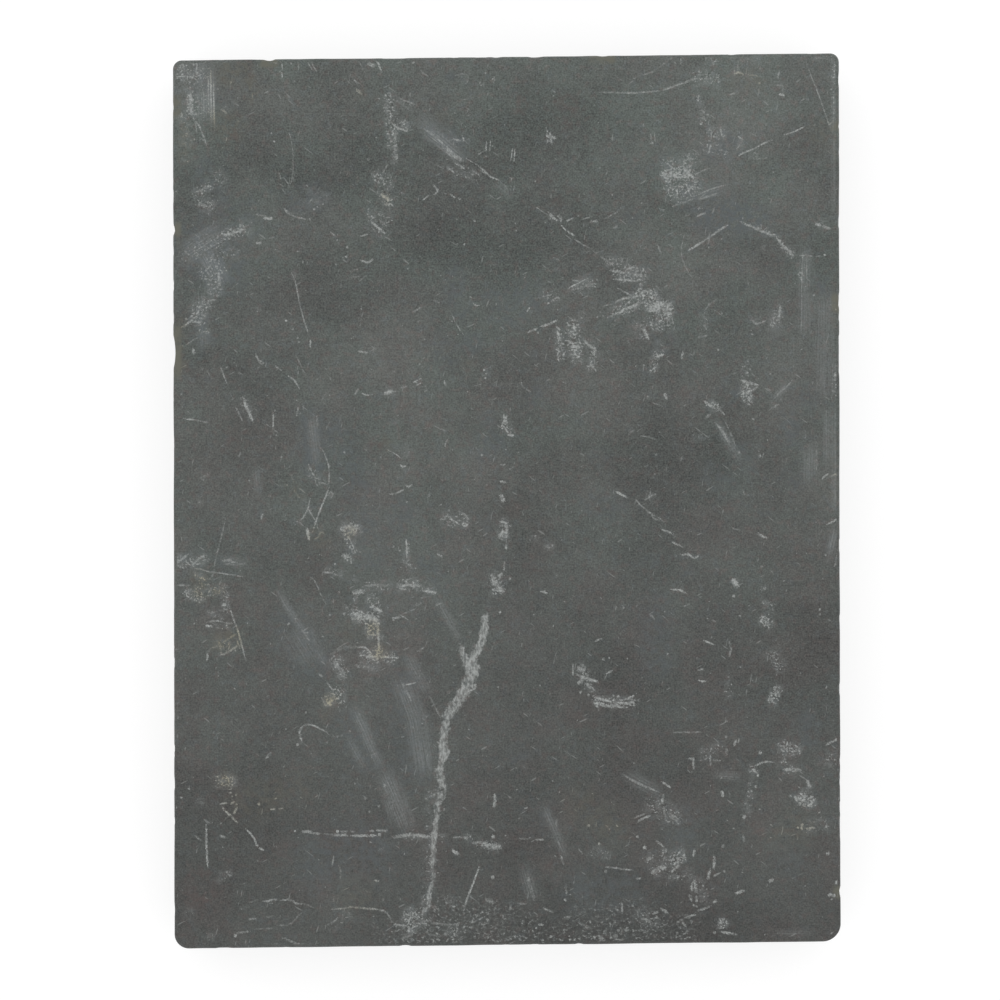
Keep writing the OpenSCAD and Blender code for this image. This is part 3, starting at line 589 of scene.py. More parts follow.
    (1.2, .8, 33.2, -70.5, 36.5, -70.2, 40, -70.8), (1, .95, 37, -69.1, 40, -69.3),
    (.9, .6, 60.6, -36.2, 62.3, -35.5), (.8, .95, 67.6, -47.9, 71.2, -49.3),
    (1.1, .75, 76.3, -48.3, 77, -50.8, 76.3, -53.1), (.8, .8, 65.6, -58, 67.2, -57.6),
    (.8, .95, 65.9, -61.5, 67.2, -62, 68.2, -61.7), (.8, .6, 56.5, -79.3, 67.4, -79.3),
    (1.2, .8, 75.3, -85.2, 75.5, -86.8), (1.2, .8, 78.5, -82.2, 78, -83.7),
    (.8, .7, 79.6, -81.4, 79.3, -82.7), (1, .95, 62.3, -88.3, 63.9, -88.3, 64.1, -91.8),
    (1, .9, 69.7, -87.5, 69.9, -90.3), (.8, .7, 70.7, -88.8, 73, -89), (.8, .7, 66.4, -89, 68.4, -88.3),
    (1, .95, 85.1, -90.8, 88, -89.4, 91.2, -89.5), (.9, .8, 83.9, -91.8, 85.9, -93.3),
    (1.6, .9, 95.3, -92.1, 100.3, -92.2), (1, .85, 109.5, -83.6, 113.8, -81.4),
    (1.1, .9, 39.6, -69.2, 42, -69.6, 44, -68.2), (1, .9, 41.4, -67.8, 43.4, -66.9),
    (1, 1, -103, -111.5, -103, -116.3, -102.8, -120.4, -102.5, -125.2),
    (.9, .9, -89.3, -112.6, -87.9, -113.8, -86.6, -115.6, -85.6, -118.1),
    (1, 1, -84.6, -119.1, -83.5, -119.6), (1, .95, -97.5, -105, -96, -106.8, -94.5, -108, -92.7, -109.8),
    (.8, .7, -96.3, -109, -94.8, -107.5), (1, .95, -92.5, -105.2, -93.5, -107.2),
    (.9, .85, -98, -103.8, -95.9, -103.5), (1, .95, -94.5, -103.7, -93.4, -103.3),
    (1.1, .85, -98, -114.9, -96.7, -115.4), (.9, .8, -106.7, -114.8, -104.9, -116.3),
    (.8, .85, -80.6, -105.7, -79.3, -105.6), (.8, .85, -78, -105.5, -76.6, -105.4),
    (1.3, 1, -70, -113.3, -67.2, -113.4), (.9, .85, -67.2, -113.8, -63.8, -114.1),
    (.8, .7, -62.6, -114.1, -59.8, -114.4), (1.3, .85, -59.8, -114.5, -54.7, -114.5),
    (.9, .8, -56.8, -113.3, -54.7, -113.3), (.9, .55, -53.5, -113.3, -52, -113.3),
    (1.2, 1, -53, -114.7, -44.5, -114.8), (1, .9, -46.9, -113.1, -45.7, -113.1),
    (1.2, .75, -44.4, -112.9, -41.1, -113.1), (1, 1, -45.1, -130, -44.1, -130.3),
    (.8, .65, -59.3, -121.9, -59.7, -124.5), (.8, .6, -57.5, -125.2, -56.8, -127, -57, -129),
    (.8, .6, -59.3, -135.6, -59.3, -137.6), (.7, .5, -88.9, -137.9, -85.4, -136.7),
    (.9, .8, -83.4, -137.1, -81.6, -137.3, -80.6, -136.6, -78.5, -136.7),
    (.9, .85, -77.5, -136.9, -75, -136.6, -73.2, -137.1, -72.5, -137.9, -70.4, -138.1),
    (.8, .5, -70.4, -138, -68.4, -138.4, -66.4, -139.4),
    (.8, .55, -70, -140.9, -71.5, -142.2, -73, -144.2, -74.7, -145.2, -78.8, -145.6),
    (.8, .55, -80.6, -146.5, -86.1, -146.7), (1, .75, -88.4, -147.6, -92, -148),
    (.8, .5, -91.7, -140.1, -88.2, -139.1), (1, .7, -88.2, -143.4, -86.2, -143.1),
    (.8, .5, -83.1, -142.7, -80, -142.4),
    (.9, .75, -59.3, -139.9, -56.3, -139.7, -53, -139.1, -48.9, -139.6, -44.1, -140, -41.8, -140.6,
     -40.3, -142.2, -39.3, -144.2, -38, -144.9), (1, .9, -38, -145.2, -34, -145.7),
    (.8, .55, -61.3, -145.2, -59.3, -144.2, -57.8, -142.9),
    (1.2, .6, -76.5, -149.8, -71.5, -152, -68.4, -152.2), (.9, .5, -81.6, -152.2, -78.5, -151.8),
    (1.6, .75, -38, -115.1, -32.9, -114.3), (1.6, .9, -32.9, -114.3, -26.3, -115.3),
    (.9, .85, -18.2, -115.3, -13.7, -115.3), (1.2, .75, -11.7, -117.2, -6.6, -117.1),
    (2, .85, -7.3, -118.2, -2.5, -118.5), (.9, .8, 4.5, -115.6, 7.3, -115.9),
    (.9, .9, 10.1, -116.1, 12.4, -116.1), (1.4, 1, -4.1, -100.9, -3.9, -102.9, -4.3, -104.5),
    (1.5, 1, -18.5, -119.8, -16.7, -121),
    (.9, 1, -9.5, -125.5, -11.1, -130, -12.7, -134.1, -13.7, -136.6, -14.9, -140.9),
    (1.4, .6, 7.3, -129, 8.9, -134.8, 9.4, -136.1), (.9, .6, 17.2, -109.3, 17, -111.8),
    (.8, .6, 17.7, -116.9, 18.2, -118.6), (1, .7, 18.7, -121.9, 19.5, -124.4),
    (.9, .6, 20.3, -131.5, 20.5, -134.6), (.9, .8, 33.9, -125.5, 37, -125.7, 40, -126.2, 43, -126.6),
    (.8, .5, 24.8, -119.4, 26.3, -121.4), (1, .6, -28.9, -146.2, -26.8, -148.5, -23.8, -149.2, -20.3, -149),
    (1.2, .85, -25.3, -144.7, -20.3, -145.2), (1, .75, -36.5, -150, -33.4, -149.2, -32.4, -148.7),
    (.8, .6, -12.7, -145.2, -10.1, -143.7), (1.2, .6, -12.2, -145.7, -9.1, -147.7),
    (2, .7, -6.6, -136.7, -5, -137.2), (.9, .8, 19.8, -142.9, 21.8, -142.4),
    (1.1, .8, 25, -144.7, 28.9, -146.7), (1, .6, 30.6, -142.4, 33.9, -142.6),
    (1.1, .95, 39.5, -138, 39.5, -141), (1, .8, 12.7, -139.6, 15.7, -140.9),
    (.9, .8, 1.5, -138.6, 1, -140.1), (.9, .7, 4, -137.9, 6.6, -138.1),
    (1, .75, 40.3, -94.1, 43.6, -96.1, 47.6, -97.9, 51.7, -99.6), (1, .95, 53.5, -96.4, 56, -98.1),
    (1.4, 1, 73.8, -99.9, 74, -101.1), (1.2, .9, 53.6, -101, 53.3, -103.5),
    (1, .7, 54, -105.2, 54.2, -108.3), (2.2, .7, 55.8, -107.2, 58.3, -109.5),
    (.9, .7, 44.1, -108.5, 47.4, -107.2), (1, .85, 45.6, -109.3, 48.9, -108),
    (1, .7, 51.4, -116.6, 53.7, -118.4), (1.3, 1, 64.4, -119.9, 64.1, -121.4),
    (1.5, .75, 48.2, -122.7, 49.7, -122.4), (1.3, .95, 52, -125.7, 54.2, -125.7),
    (2, .8, 50.2, -127.2, 52.2, -126), (1, .95, 56.5, -127, 59, -125), (1, .8, 44.6, -129.5, 45.6, -129.3),
    (1.3, 1, 64.4, -130, 64.9, -134.1), (1.2, .9, 63.4, -131.5, 63.4, -133.6),
    (1.2, .95, 62.8, -135.3, 63.4, -136.8), (1.3, .95, 65, -135.8, 65.1, -137.1),
    (1, .9, 65.6, -140.4, 68.4, -139.6, 69.7, -138.9), (1.4, 1, 71, -137.6, 71.7, -137.1),
    (1.2, 1, 71.2, -122.2, 71, -125.7), (1.2, .95, 69.7, -126.5, 69, -129.3),
    (.9, .7, 71, -128.5, 73, -127.5), (1.2, 1, 78.5, -134.5, 81.1, -133.6),
    (1.4, .9, 90.2, -130.3, 91.1, -129.8), (1.2, .95, 73.5, -147.7, 78.6, -148.6),
    (1.6, 1, 110.5, -135.1, 112, -135.2), (1, .8, 81.1, -114.8, 81.3, -116.6),
    (1.3, 1, 98.8, -101.4, 99.6, -102.7), (1.4, .85, 103.1, -96.1, 103.9, -97.9),
    (1.2, .95, 101.3, -111, 101.1, -112.3), (1, .8, 102.9, -112.3, 105.4, -112),
    (1.3, 1, 53.2, -139.9, 55, -141.1), (1.2, .9, 50.4, -141.4, 51.7, -140.9),
    (1.3, .95, 47.4, -143.2, 49.9, -144.7), (1, .9, 58.5, -144.5, 60.1, -143.4),
    (1, .9, 61.3, -142.7, 64.4, -141.9), (1.2, .9, 60.3, -144.5, 61.3, -145.7),
    (1, .85, 40.3, -147, 41.6, -147.2), (.8, .5, 60.6, -146.7, 64.6, -146.7),
    (.7, .95, -101.4, 147, -101.3, 131), (.7, .9, -100.5, 144, -100.2, 128),
    (.6, .8, -102.3, 146, -102.1, 133), (.7, .9, -107.3, 131, -105.4, 128.5, -104, 125.3, -102.7, 121.6),
    (.6, .7, -106.9, 130.5, -106.2, 126.5), (.6, .85, 106, 142, 110.6, 128.5), (.6, .7, 101.3, 84, 101, 72),
    (.5, .6, 101.2, 71, 100.9, 58), (.5, .6, 102.6, 86, 102.9, 76),
]
# Pits: width, how pale, x, y
dots = [
    (.9, 1, -80.7, 126), (.9, 1, -79.7, 123.2), (1.1, 1, -66, 100), (.9, .6, -92, 130),
    (1.1, .8, -94.5, 143.3), (1, .7, -54.2, 143.5), (1.3, .8, -47.5, 117), (.9, .7, -99, 141.2),
    (.9, .8, -91.6, 96.4), (1, .75, -63, 101.8), (.9, .6, -72.8, 143.8), (1, .7, -44.4, 150.6),
    (.9, .8, -7.2, 146.7), (.9, .85, -4.8, 144.5), (.9, .7, -9.2, 143.3), (1.1, 1, -11, 96),
    (.7, .7, -10.6, 101.2), (.9, .75, -7, 118.2), (.8, .6, 26.5, 94.3), (1, .7, 32.8, 101),
    (.9, .7, 24.6, 97.8), (.8, .7, -36, 105.5), (.9, .8, 81, 97), (1.2, .7, 47, 128.8), (1, .75, 69, 132.2),
    (.9, .55, 77.8, 132.7), (.8, .7, 65.1, 118.1), (1.1, .7, 84.8, 105.7), (.9, .6, 56, 99.4),
    (1.1, .7, 61.4, 98), (.9, .65, 66, 100.4), (.8, .6, 87.5, 117.8), (.9, .6, 67.4, 120.3),
    (.8, .6, 111.4, 145.4), (.8, .6, 112.2, 147.6), (.9, .6, 86.6, 143.2), (.7, .6, -14.6, 150.9),
    (1.1, 1, -109.8, 62.4), (1.4, .9, -108, 63.2), (1.3, .9, -105.8, 64.3), (.9, .8, -96, 45.7),
    (1, .8, -111.5, 36.5), (.9, .9, -83.5, 47.2), (1.1, 1, -75.6, 61.7), (1, .8, -73.3, 58.8),
    (.9, .85, -71.6, 55.9), (.9, .8, -71.2, 54.5), (1, 1, -69.8, 81.9), (.9, .65, -82.2, 64.6),
    (1, .6, -76.7, 55), (1.1, .65, -60.5, 41.9), (.9, .7, -58.2, 89.4), (1.1, .9, -54.6, 87),
    (1, 1, -55, 83.7), (.8, .6, -56.2, 83.3), (.9, .65, -58.5, 81), (.9, .55, -46, 89.2),
    (.9, .7, -38.5, 44.3), (.9, .65, -79.5, 31), (1.1, .85, -14.6, 88), (.9, .6, -17, 88),
    (1, .9, 36.2, 83), (.8, .8, 38, 81.2), (1.1, .9, 39.1, 83.3), (1.2, .6, 19.3, 76.2), (1, .65, 31, 75.8),
    (1, 1, 14.3, 67.8), (1, .85, 10.7, 57.6), (1.3, .6, -3.2, 62.8), (1.1, 1, -7.7, 44.8),
    (.9, .9, -7, 43.5), (.9, .9, -7.3, 42.1), (.8, .6, -28.8, 46), (.8, .6, -29.9, 46.8),
    (.8, .55, -28, 47.4), (.9, .7, -30, 38.9), (1.1, 1, 19.5, 50.2), (1, .85, 21.2, 60.3),
    (.9, .85, 21.4, 57.6), (1, 1, 25, 54.2), (1.1, 1, 24.6, 49.4), (.9, .8, 23.6, 62), (.8, .8, 25.7, 62.7),
    (.8, .7, 33, 63.4), (.8, .7, 37, 60.3), (.8, .6, 37, 61.8), (.8, .6, 32, 64.8), (1, .85, 91.6, 91.3),
    (1, 1, 109, 84.3), (1.4, .55, 88, 87), (.8, .7, 43, 82.6), (.9, .85, 47, 46.5), (.9, .7, 48.5, 35.8),
    (.9, .65, 71.3, 65.2), (1.1, .75, 67.8, 60), (1, .85, 72.5, 51.8), (.9, .6, 94.6, 63),
    (1, .95, 101.1, 76), (1.3, 1, 112.8, 43.1), (.8, .9, 113.4, 51.5), (1.1, .95, 82.5, 44),
    (.8, .6, 80.9, 46), (.8, .6, 84, 46), (.8, .65, 82.6, 47.8), (.9, .6, 94, 35), (.9, .8, -70.7, 30),
    (1.2, .6, -102.5, 8.8), (1.2, .6, -105.5, -.6), (.8, .7, -88.2, 6.9), (.7, .7, -77.5, 5.1),
    (.8, .75, -75.3, 5.4), (.8, .85, -50.2, -17.6), (.9, 1, -58.8, -21.6), (.8, .6, -43.2, 15),
    (.8, .65, -41.8, -7), (1, .9, -38.8, -15.6), (.8, .6, -39, 7.3), (.9, .7, -33.6, 22.2),
    (1.1, .8, -8.5, 15.7), (.9, .6, -34.2, -.4), (.9, .6, -19.8, -3.2), (.9, .8, -16.2, -3.8),
    (.8, .6, -.2, -14.1), (1.1, 1, 1.1, -26.8), (1, .8, -34, -20.5), (1, .85, -36.7, -17),
    (.8, .6, -36.3, -22.8), (1.2, .9, -27, -30.1), (.9, .65, -29, -30.6), (.8, .55, 8, -13.4),
    (.8, .55, 9.8, -12), (.9, .9, 15.6, -15.3), (1.3, .8, 13, -31.2), (1, .8, 79.7, 16.6),
    (1.3, .8, 86.7, 15.3), (1, .9, 51.1, 15.9), (1.2, .6, 51.4, 11.9), (.8, .7, 54.2, -7.3),
    (1.3, .7, 87.3, -22.4), (1.4, .75, 88.3, -30), (.8, .6, 108.4, -26.7), (1.5, 1, -96.8, -35.6),
    (.9, .6, -112.7, -74.3), (1.2, 1, -55.7, -38.7), (1.2, 1, -44.2, -54), (.9, .8, -68.8, -72.5),
    (.9, .6, -50, -72), (1.3, 1, -70.5, -81.4), (1.2, 1, -71.7, -83.6), (1, .8, -61.7, -82.8),
    (.9, .7, -56.5, -80.4), (1, .6, -53.8, -79), (.9, .8, -38.8, -40.8), (1.2, 1, -2.3, -38.2),
    (1.2, .7, -19.8, -65.5), (1, .6, -27.6, -73.8), (.8, .6, -29.4, -55.6), (.8, .6, -32.2, -77.6),
    (1.2, .8, -19.5, -78.1), (1.2, 1, 33.2, -54.3), (.9, .95, 35.1, -53.8), (1.2, 1, 25.3, -65.6),
    (1.2, .9, 28.1, -66.5), (1.2, .9, 30.9, -70.4), (1, .9, 36.5, -66.7), (1.2, 1, 38.2, -67),
    (1.4, .85, 77.8, -32.5), (.8, .6, 70.2, -46.8), (1.2, .9, 75.3, -75.5), (1.3, .6, 75.2, -80.9),
    (1.5, 1, 86.9, -86.3), (1, .9, 107.3, -37.2), (.9, .7, 107.3, -38.9), (.8, .6, 99.8, -57.4),
    (.8, .7, 100.8, -58.9), (1, .6, 76, -60.4), (1.2, 1, -85.6, -118), (.8, .8, -92.6, -104),
    (.8, .85, -92.8, -100.8), (1.3, .8, -94.8, -100.2), (.8, .7, -94.1, -101.3), (.8, .75, -97.9, -110.5),
    (1, .95, -111.5, -101.6), (1.1, .7, -108.9, -98.6), (1.3, .7, -84.9, -104), (1, 1, -72.6, -113.2),
    (1.3, 1, -58, -113.3), (1.6, 1, -43.6, -114.3), (1.2, .7, -42.3, -136.6), (1.4, .95, -93, -149),
    (1.2, .85, -94.7, -128.4), (1.2, .7, -48.6, -101.9), (1, .75, -43.8, -104.7), (1, .8, -47, -106.5),
    (1.2, .8, -41.8, -97.5), (.9, .7, -51.2, -95.3), (.9, .6, -52, -96.9), (1, .8, -21.5, -105.7),
    (1.2, 1, -14, -115.6), (1.6, 1, -4.6, -115), (1.5, 1, -4.8, -128.9), (.8, .7, 18, -99.8),
    (1.3, 1, 20, -136.8), (1.4, .7, 28, -111.3), (1.2, .95, 31.7, -117.5), (1.2, .9, 33.9, -127),
    (1.1, .9, -16.5, -144.7), (1, .7, -17, -146.7), (1.1, .6, -16, -135.8), (2.2, 1, 37.2, -149.3),
    (1.5, .9, 38.2, -147.2), (2.3, .9, 32.4, -150), (1.8, .85, 33.7, -147.7), (1.4, .85, 37, -144.7),
    (1.4, .9, 44.8, -115.1), (1.7, 1, 47.3, -118.8), (1.4, .8, 58.8, -128.8), (1, .8, 64.1, -138.6),
    (1, .8, 65.1, -139), (1, .9, 67.2, -132), (1.2, .8, 74.5, -127), (1.5, .8, 74.1, -118.3),
    (1.3, .9, 71.2, -148), (1.6, .9, 110, -120.9), (1.6, 1, 113.1, -130.8), (1.5, 1, 111.6, -148.5),
    (1.8, .9, 81.3, -108.3), (1, .8, 81.8, -103.8), (1.1, .95, 85.4, -97.9), (1, .8, 83.9, -99.4),
    (1, .95, 86.1, -94.1), (.9, .7, 86.7, -105.7), (1.2, .9, 97.3, -101.1), (1, .9, 99.8, -112),
    (1.3, .9, 109.5, -111.5), (1, .9, 58.5, -148.1), (1, .8, 48.2, -147.5), (1, .8, 59.8, -150),
]
# Wide streaky grazes, laid out as the scratches are
grazes = [
    (6, .6, -103.6, 141, -103.4, 131), (2.6, .55, -101.4, 148, -101, 130), (4, .5, -105, 151, -104.6, 143),
    (5, .7, -28, 127.4, -22, 123, -15.5, 117.4), (7, .35, -30, 131, -22, 124, -16, 120),
    (2.4, .35, -3.4, 108.6, 1, 105), (3, .4, 112.4, 140, 112.2, 126), (2.4, .35, 112.4, 152, 112.8, 142),
    (3, .3, 112.4, 126, 112.6, 100), (5, .3, 58, 103, 76, 108), (9, .5, -110, 84, -97, 92),
    (8, .6, -104, 86, -98, 74), (4, .5, -102, 76, -101, 70), (5, .5, -105.4, 70, -105, 61),
    (5, .45, -104, 59, -104, 54), (5, .35, 102.4, 87, 102.4, 58), (7, .3, 109, 70, 109, 36),
    (4, .35, 112, 50, 112, 36), (5, .35, 92, 66, 91.6, 57), (3, .4, 96, 40, 92, 35),
    (4, .35, 22, 74, 30, 76.6), (6, .45, 39, 77, 46, 77.6), (3, .35, -86, 11, -85, 3),
    (3, .4, -97, -20, -90, -21.6), (4, .4, -67, 29, -65, 13), (3, .5, 72, 26.6, 80, 14),
    (6, .35, 104, 19, 104, 6), (3, .4, 109.8, 31, 109.8, 12), (3, .4, 112.8, 31, 112.8, -2),
    (3, .55, 112.4, -10, 110.6, -19), (2.4, .5, -78, -31.5, -75.5, -36, -72, -41, -69, -45.5, -66.5, -49),
    (12, .3, -73, -44, -66, -55), (4, .5, -52, -72, -49, -78, -46, -85, -43, -91),
    (3, .35, -54, -82, -49, -91), (3, .35, -66, -49, -62, -56),
    (3, .4, -23.8, -33.6, -19.8, -40.6, -16, -48), (8, .4, -36, -62, -31, -75, -28, -93),
    (5, .35, -34, -53, -27, -66), (7, .5, -42, -93, -38, -102, -34, -112), (5, .45, -41, -100, -38, -109),
    (3, .4, 13, -105, 17, -114, 20, -122), (5, .35, 6, -126, 9, -136), (5, .35, 41, -94, 52, -99.6),
    (3, .4, 72, -94, 80, -94.5), (2, .35, 93, -148, 104, -148),
]
# Chalky scuffs: width, how dense, then the line down the middle of the patch, or one point
scuffs = [
    (3.5, .7, -112, 150, -111.6, 146), (4, .7, -108.6, 138, -108.4, 133.4), (8, .5, -105.5, 104, -102, 101),
    (6, .5, -99, 111.5, -98, 110), (6, .45, -93, 92, -89, 94), (9, .4, -67.5, 104, -64, 103),
    (5, .7, -40.5, 138, -39.6, 129, -39, 122), (7, .6, -43.5, 111, -41, 109), (5, .7, -42, 105, -40, 102),
    (7, .5, -46, 98, -41, 96), (5, .5, -46, 95, -42, 92), (6, .45, -38, 137, -34, 136),
    (4.5, .7, -37.6, 129, -35, 128.4), (3, .6, -38.4, 124, -38.2, 116), (4, .4, -15, 145),
    (4, .45, -17, 124, -14, 124), (5, .5, -15, 113, -11, 110.6), (4, .5, -21, 113.6, -17, 112.4),
    (4, .6, 14.6, 124.6), (3.4, .6, 15.6, 97.2, 18.4, 96.4), (8, .55, 65.5, 145, 71, 144.6),
    (4, .6, 70.6, 150.8), (5, .5, 82, 151.6, 84, 151.4), (4, .5, 79, 147), (4, .4, 83, 146),
    (3, .4, 93.4, 146, 93.8, 140), (3.5, .55, 65.4, 138, 68, 132, 67, 130), (6, .6, 70.6, 126, 72.8, 125.6),
    (6, .5, 70, 121, 74, 119.4), (4, .4, 76, 117), (4, .45, 80, 124, 79.4, 121), (4, .45, 85.6, 118.4),
    (6, .9, 55, 112, 62.4, 112.6), (6, .55, 54.6, 115.6, 58, 115), (6, .6, 61, 117, 64, 117.4),
    (11, .75, 58, 107.6, 62, 108), (6, .5, 56, 105, 60, 104), (3, .4, 66.6, 109.4), (5, .5, 66.4, 99.4),
    (4, .5, 108, 95), (3, .5, 112, 150, 112.4, 144), (3, .4, 113, 139, 113, 118),
    (3, .45, 106, 151.6, 111.6, 151.8), (5, .75, -96, 91.6, -91, 93), (9, .45, -103, 89, -96, 85),
    (6, .4, -109, 84, -106, 87), (7, .65, -102.6, 78, -98.6, 79), (4, .7, -98.6, 78, -98.6, 74.6),
    (4, .5, -101, 73, -100, 71), (6, .7, -106, 66, -105, 62), (3.4, .6, -104.6, 57.6, -103, 57.8),
    (4, .4, -72.8, 77), (3, .4, -85.5, 65.5), (5, .5, -40, 37.6), (5, .6, 35, 82, 39, 82),
    (5, .7, 38, 78, 41, 76.4), (5, .55, 23, 72.6, 29, 74.4), (5, .5, 13, 70, 17, 70),
    (6, .7, 42, 79, 46, 77.6), (4, .6, 46, 76, 46.4, 73), (4.5, .7, 18, 57.6, 18.4, 49.6),
    (6, .75, 22.6, 59.6, 24, 49), (4.5, .6, 28, 54, 30, 50, 29, 46), (4, .4, 24, 62, 26, 62.6),
    (6, .7, 38, 65, 44, 67.6), (5, .8, 45, 70.6, 50, 70.8), (7, .95, 50, 67, 54.6, 66),
    (5, .8, 55.4, 65, 54, 62.6), (7, .7, 50, 61, 54, 61), (6, .5, 45, 60, 47, 57.6),
    (4, .5, 52, 53, 53.6, 51.6), (3.4, .75, 51.2, 50.4, 50.2, 44.4), (4, .45, 68, 64, 67.6, 57),
    (3, .4, 72.6, 52), (5, .4, 84.6, 61.4, 88, 61.4), (4.5, .6, 93, 65.6, 92, 60.6),
    (3, .5, 101.4, 84, 101, 75.6), (5, .9, 82, 39.4, 82.6, 35.6), (4, .5, 82, 46, 82.6, 44),
    (3.4, .5, 92, 32.4), (4, .7, 69.8, 33.2, 72.6, 31.4), (3, .5, 112.6, 45, 112.8, 43),
    (3, .6, 94, 88.4, 97.6, 85), (2.6, .5, 54.4, 36), (3, .4, 48, 35.8, 45.6, 35.3), (3, .4, 88, 87),
    (3, .45, -7.4, 43.6), (4, .6, -90, 34, -87.6, 29), (4, .45, -104, 8.6), (3, .4, -105.4, -.4),
    (5, .65, -112, -20, -109, -21), (5, .6, -107, -21, -104, -20), (4, .55, -106, -25, -105, -29),
    (3, .5, -96, -20.8, -93, -21), (4.5, .5, -67, 10, -64, 7), (3, .5, -60.4, 2.2),
    (4, .4, -69, -1, -67, -3), (3, .4, -64, -10.6), (3, .5, -68, -11.6), (5.5, .85, -55, -9.6, -52, -9.4),
    (4, .65, -54.6, -12, -52.6, -17), (3.4, .7, -55, -19, -53.6, -20.6), (4, .55, -61, -24, -57, -25),
    (4, .5, -52, -26.6), (5, .5, -48, -29, -41, -29.2), (5, .4, -34, 16.6), (3, .4, -22.6, 20),
    (3.4, .6, -.9, 28, 1.6, 22.6), (5, .6, -21, -6.4, -17, -7), (4, .6, -15, -5, -14, -8),
    (3, .4, -21, -8.4), (5, .75, -1, -8, -1, -11.6), (3, .5, -.2, -15), (7, .6, -4, -27, -3, -30),
    (2.6, .6, -34.4, -14, -34.2, -19), (4, .5, -35, -20.8, -33, -22.6), (5, .7, -36, -29, -31, -28.6),
    (4, .6, -28, -30.4, -25.6, -31), (3.4, .4, -23, -19), (4, .4, 9.6, -13), (4, .45, 14.4, -15.8),
    (4, .4, 64, 21.6, 69, 22), (4, .4, 42, 24.6), (4, .45, 49, 2, 51, 0), (3.4, .6, 78.2, -28),
    (4, .5, 88.2, -30), (4, .45, 58.6, -29.4), (3, .4, 87, -12), (5, .75, -109, -31.6, -105, -33),
    (3.4, .7, -96.4, -31.4, -96.4, -37.6), (5, .45, -101, -38.6, -97, -43.4),
    (5, .5, -98.4, -48.6, -94, -50.6), (4, .5, -51.6, -33, -52, -37), (6, .7, -46.4, -34, -44.4, -38),
    (6, .85, -52, -39, -45.6, -41), (4, .6, -54.8, -37), (5, .75, -46.2, -42.6, -46.8, -45.4),
    (3, .6, -44, -42, -43.8, -51), (5, .8, -44, -51.6), (5, .75, -49, -53, -39.6, -54),
    (4, .5, -50, -56.4, -45, -57.4), (6, .65, -58.6, -54.6, -56, -59), (5, .75, -61, -68.6, -59.4, -67),
    (5, .7, -57.6, -65, -56.8, -68.6), (3, .4, -66.5, -86.2), (3, .4, -51, -72.2), (3, .4, -70.6, -82),
    (4, .6, 88.2, -35.3, 90.7, -35.3), (3.5, .5, 90.5, -38), (4.5, .85, 88.2, -40.9, 89.7, -42.4),
    (5, .6, 90.6, -52, 93.6, -57), (4.5, .9, 92.4, -65, 91, -68.4), (3.5, .6, 76, -63, 75.8, -66.4),
    (5, .5, 67.6, -86.4, 72.4, -84.6), (6, .75, 95, -84.4, 98.6, -85.4), (5, .6, 95, -88.6),
    (5, .7, 84.6, -92), (5, .6, 97.6, -92.2), (5, .75, 25.6, -57.8, 27.6, -61.4),
    (4, .6, 27.6, -62.6, 29.4, -65.4), (4.5, .8, 31, -68.6, 43, -69.4), (7, .55, 111, -88.6),
    (3, .5, 34.6, -58.8), (4, .6, -10.6, -51, -12.6, -58), (6, .7, -98, -95.6, -95, -96.4),
    (4, .5, -104.9, -102.7), (3.4, .5, -43.6, -118.6), (3, .7, -95.4, -128), (5, .45, -98, -129),
    (5, .5, -55, -142), (5, .45, -60, -145.6), (4, .45, -101.8, -149.4), (5, .45, -108.7, -141.4),
    (8, .9, -32.6, -142.8), (7, .8, -33.2, -146), (6, .65, -28.4, -144), (6, .6, -18.4, -147.6),
    (4, .6, -19.8, -136.8), (4, .7, -13, -115), (4, .7, -9, -117.6, -3, -118.6),
    (3, .6, -34, -115, -22, -115), (5, .5, 30, -120.4, 34, -120.8), (9, .55, 51, -104, 57, -108),
    (6, .85, 57.6, -123, 59.6, -121.6), (5, .7, 54, -121), (7, .45, 49, -123),
    (5, .7, 51, -127, 54, -125.8), (6, .5, 57, -128, 62, -128.4), (6, .5, 65, -131, 68, -136),
    (5, .95, 73.9, -144.7), (6, .95, 101.6, -102, 103.6, -103), (3, .6, 103.8, -98),
    (6, .5, 103, -112, 109, -111), (5, .45, 107.4, -107.7), (6, .5, 46, -141, 50, -144.6),
    (4, .5, 84, -97, 82, -108), (5, .42, -26, -101, -26.4, -112, -26.8, -122),
    (6, .45, -26.2, -124, -27, -134), (5, .55, -27.4, -136, -29.5, -142), (12, .5, -106, 148, -106, 134),
    (5, .7, -111, 149, -110, 145), (2.6, .72, -112.5, 145.3, -103.5, 145.1),
    (2.6, .7, -106.2, 150, -106.4, 147), (3, .85, -108.4, 139, -108.2, 133),
    (6, .45, -111, 131, -109.5, 122), (3, .6, -96.6, 134), (5, .42, -110, 117.5), (3.5, .62, -99, 110.6),
    (5, .6, -106, 105.5, -102, 107.8), (4, .66, -105, 102.5, -101.5, 101), (6, .52, -94, 91.5, -106, 86.5),
    (5, .5, -110, 84, -106.5, 84.5), (7, .64, -100, 82, -99.5, 73), (3, .42, -93.6, 84.2),
    (3, .52, -100.5, 72, -101, 68.5), (6, .66, -103.5, 67.5, -106.5, 62.5), (4, .42, -105.5, 57),
    (2.4, .75, 83.6, 94.3, 87, 93.5, 91.2, 91.1, 93.3, 89.6), (2.6, .8, 93.3, 89.6, 94.4, 87.2, 98.1, 84.2),
    (3, .62, 93, 66, 92.8, 60), (1.7, .55, 111.8, 151, 112, 130), (3, .6, 112.5, 45, 112.6, 37),
    (3.6, .62, -105.5, -25.5, -103, -29), (3.2, .6, -107, -30.5), (4, .66, -101, -31, -97, -30.3),
    (3, .6, -104.5, -34.5), (2.6, .72, -96.3, -34.5), (2.4, .5, -98, -27), (3, .45, -103.5, 8.5),
]
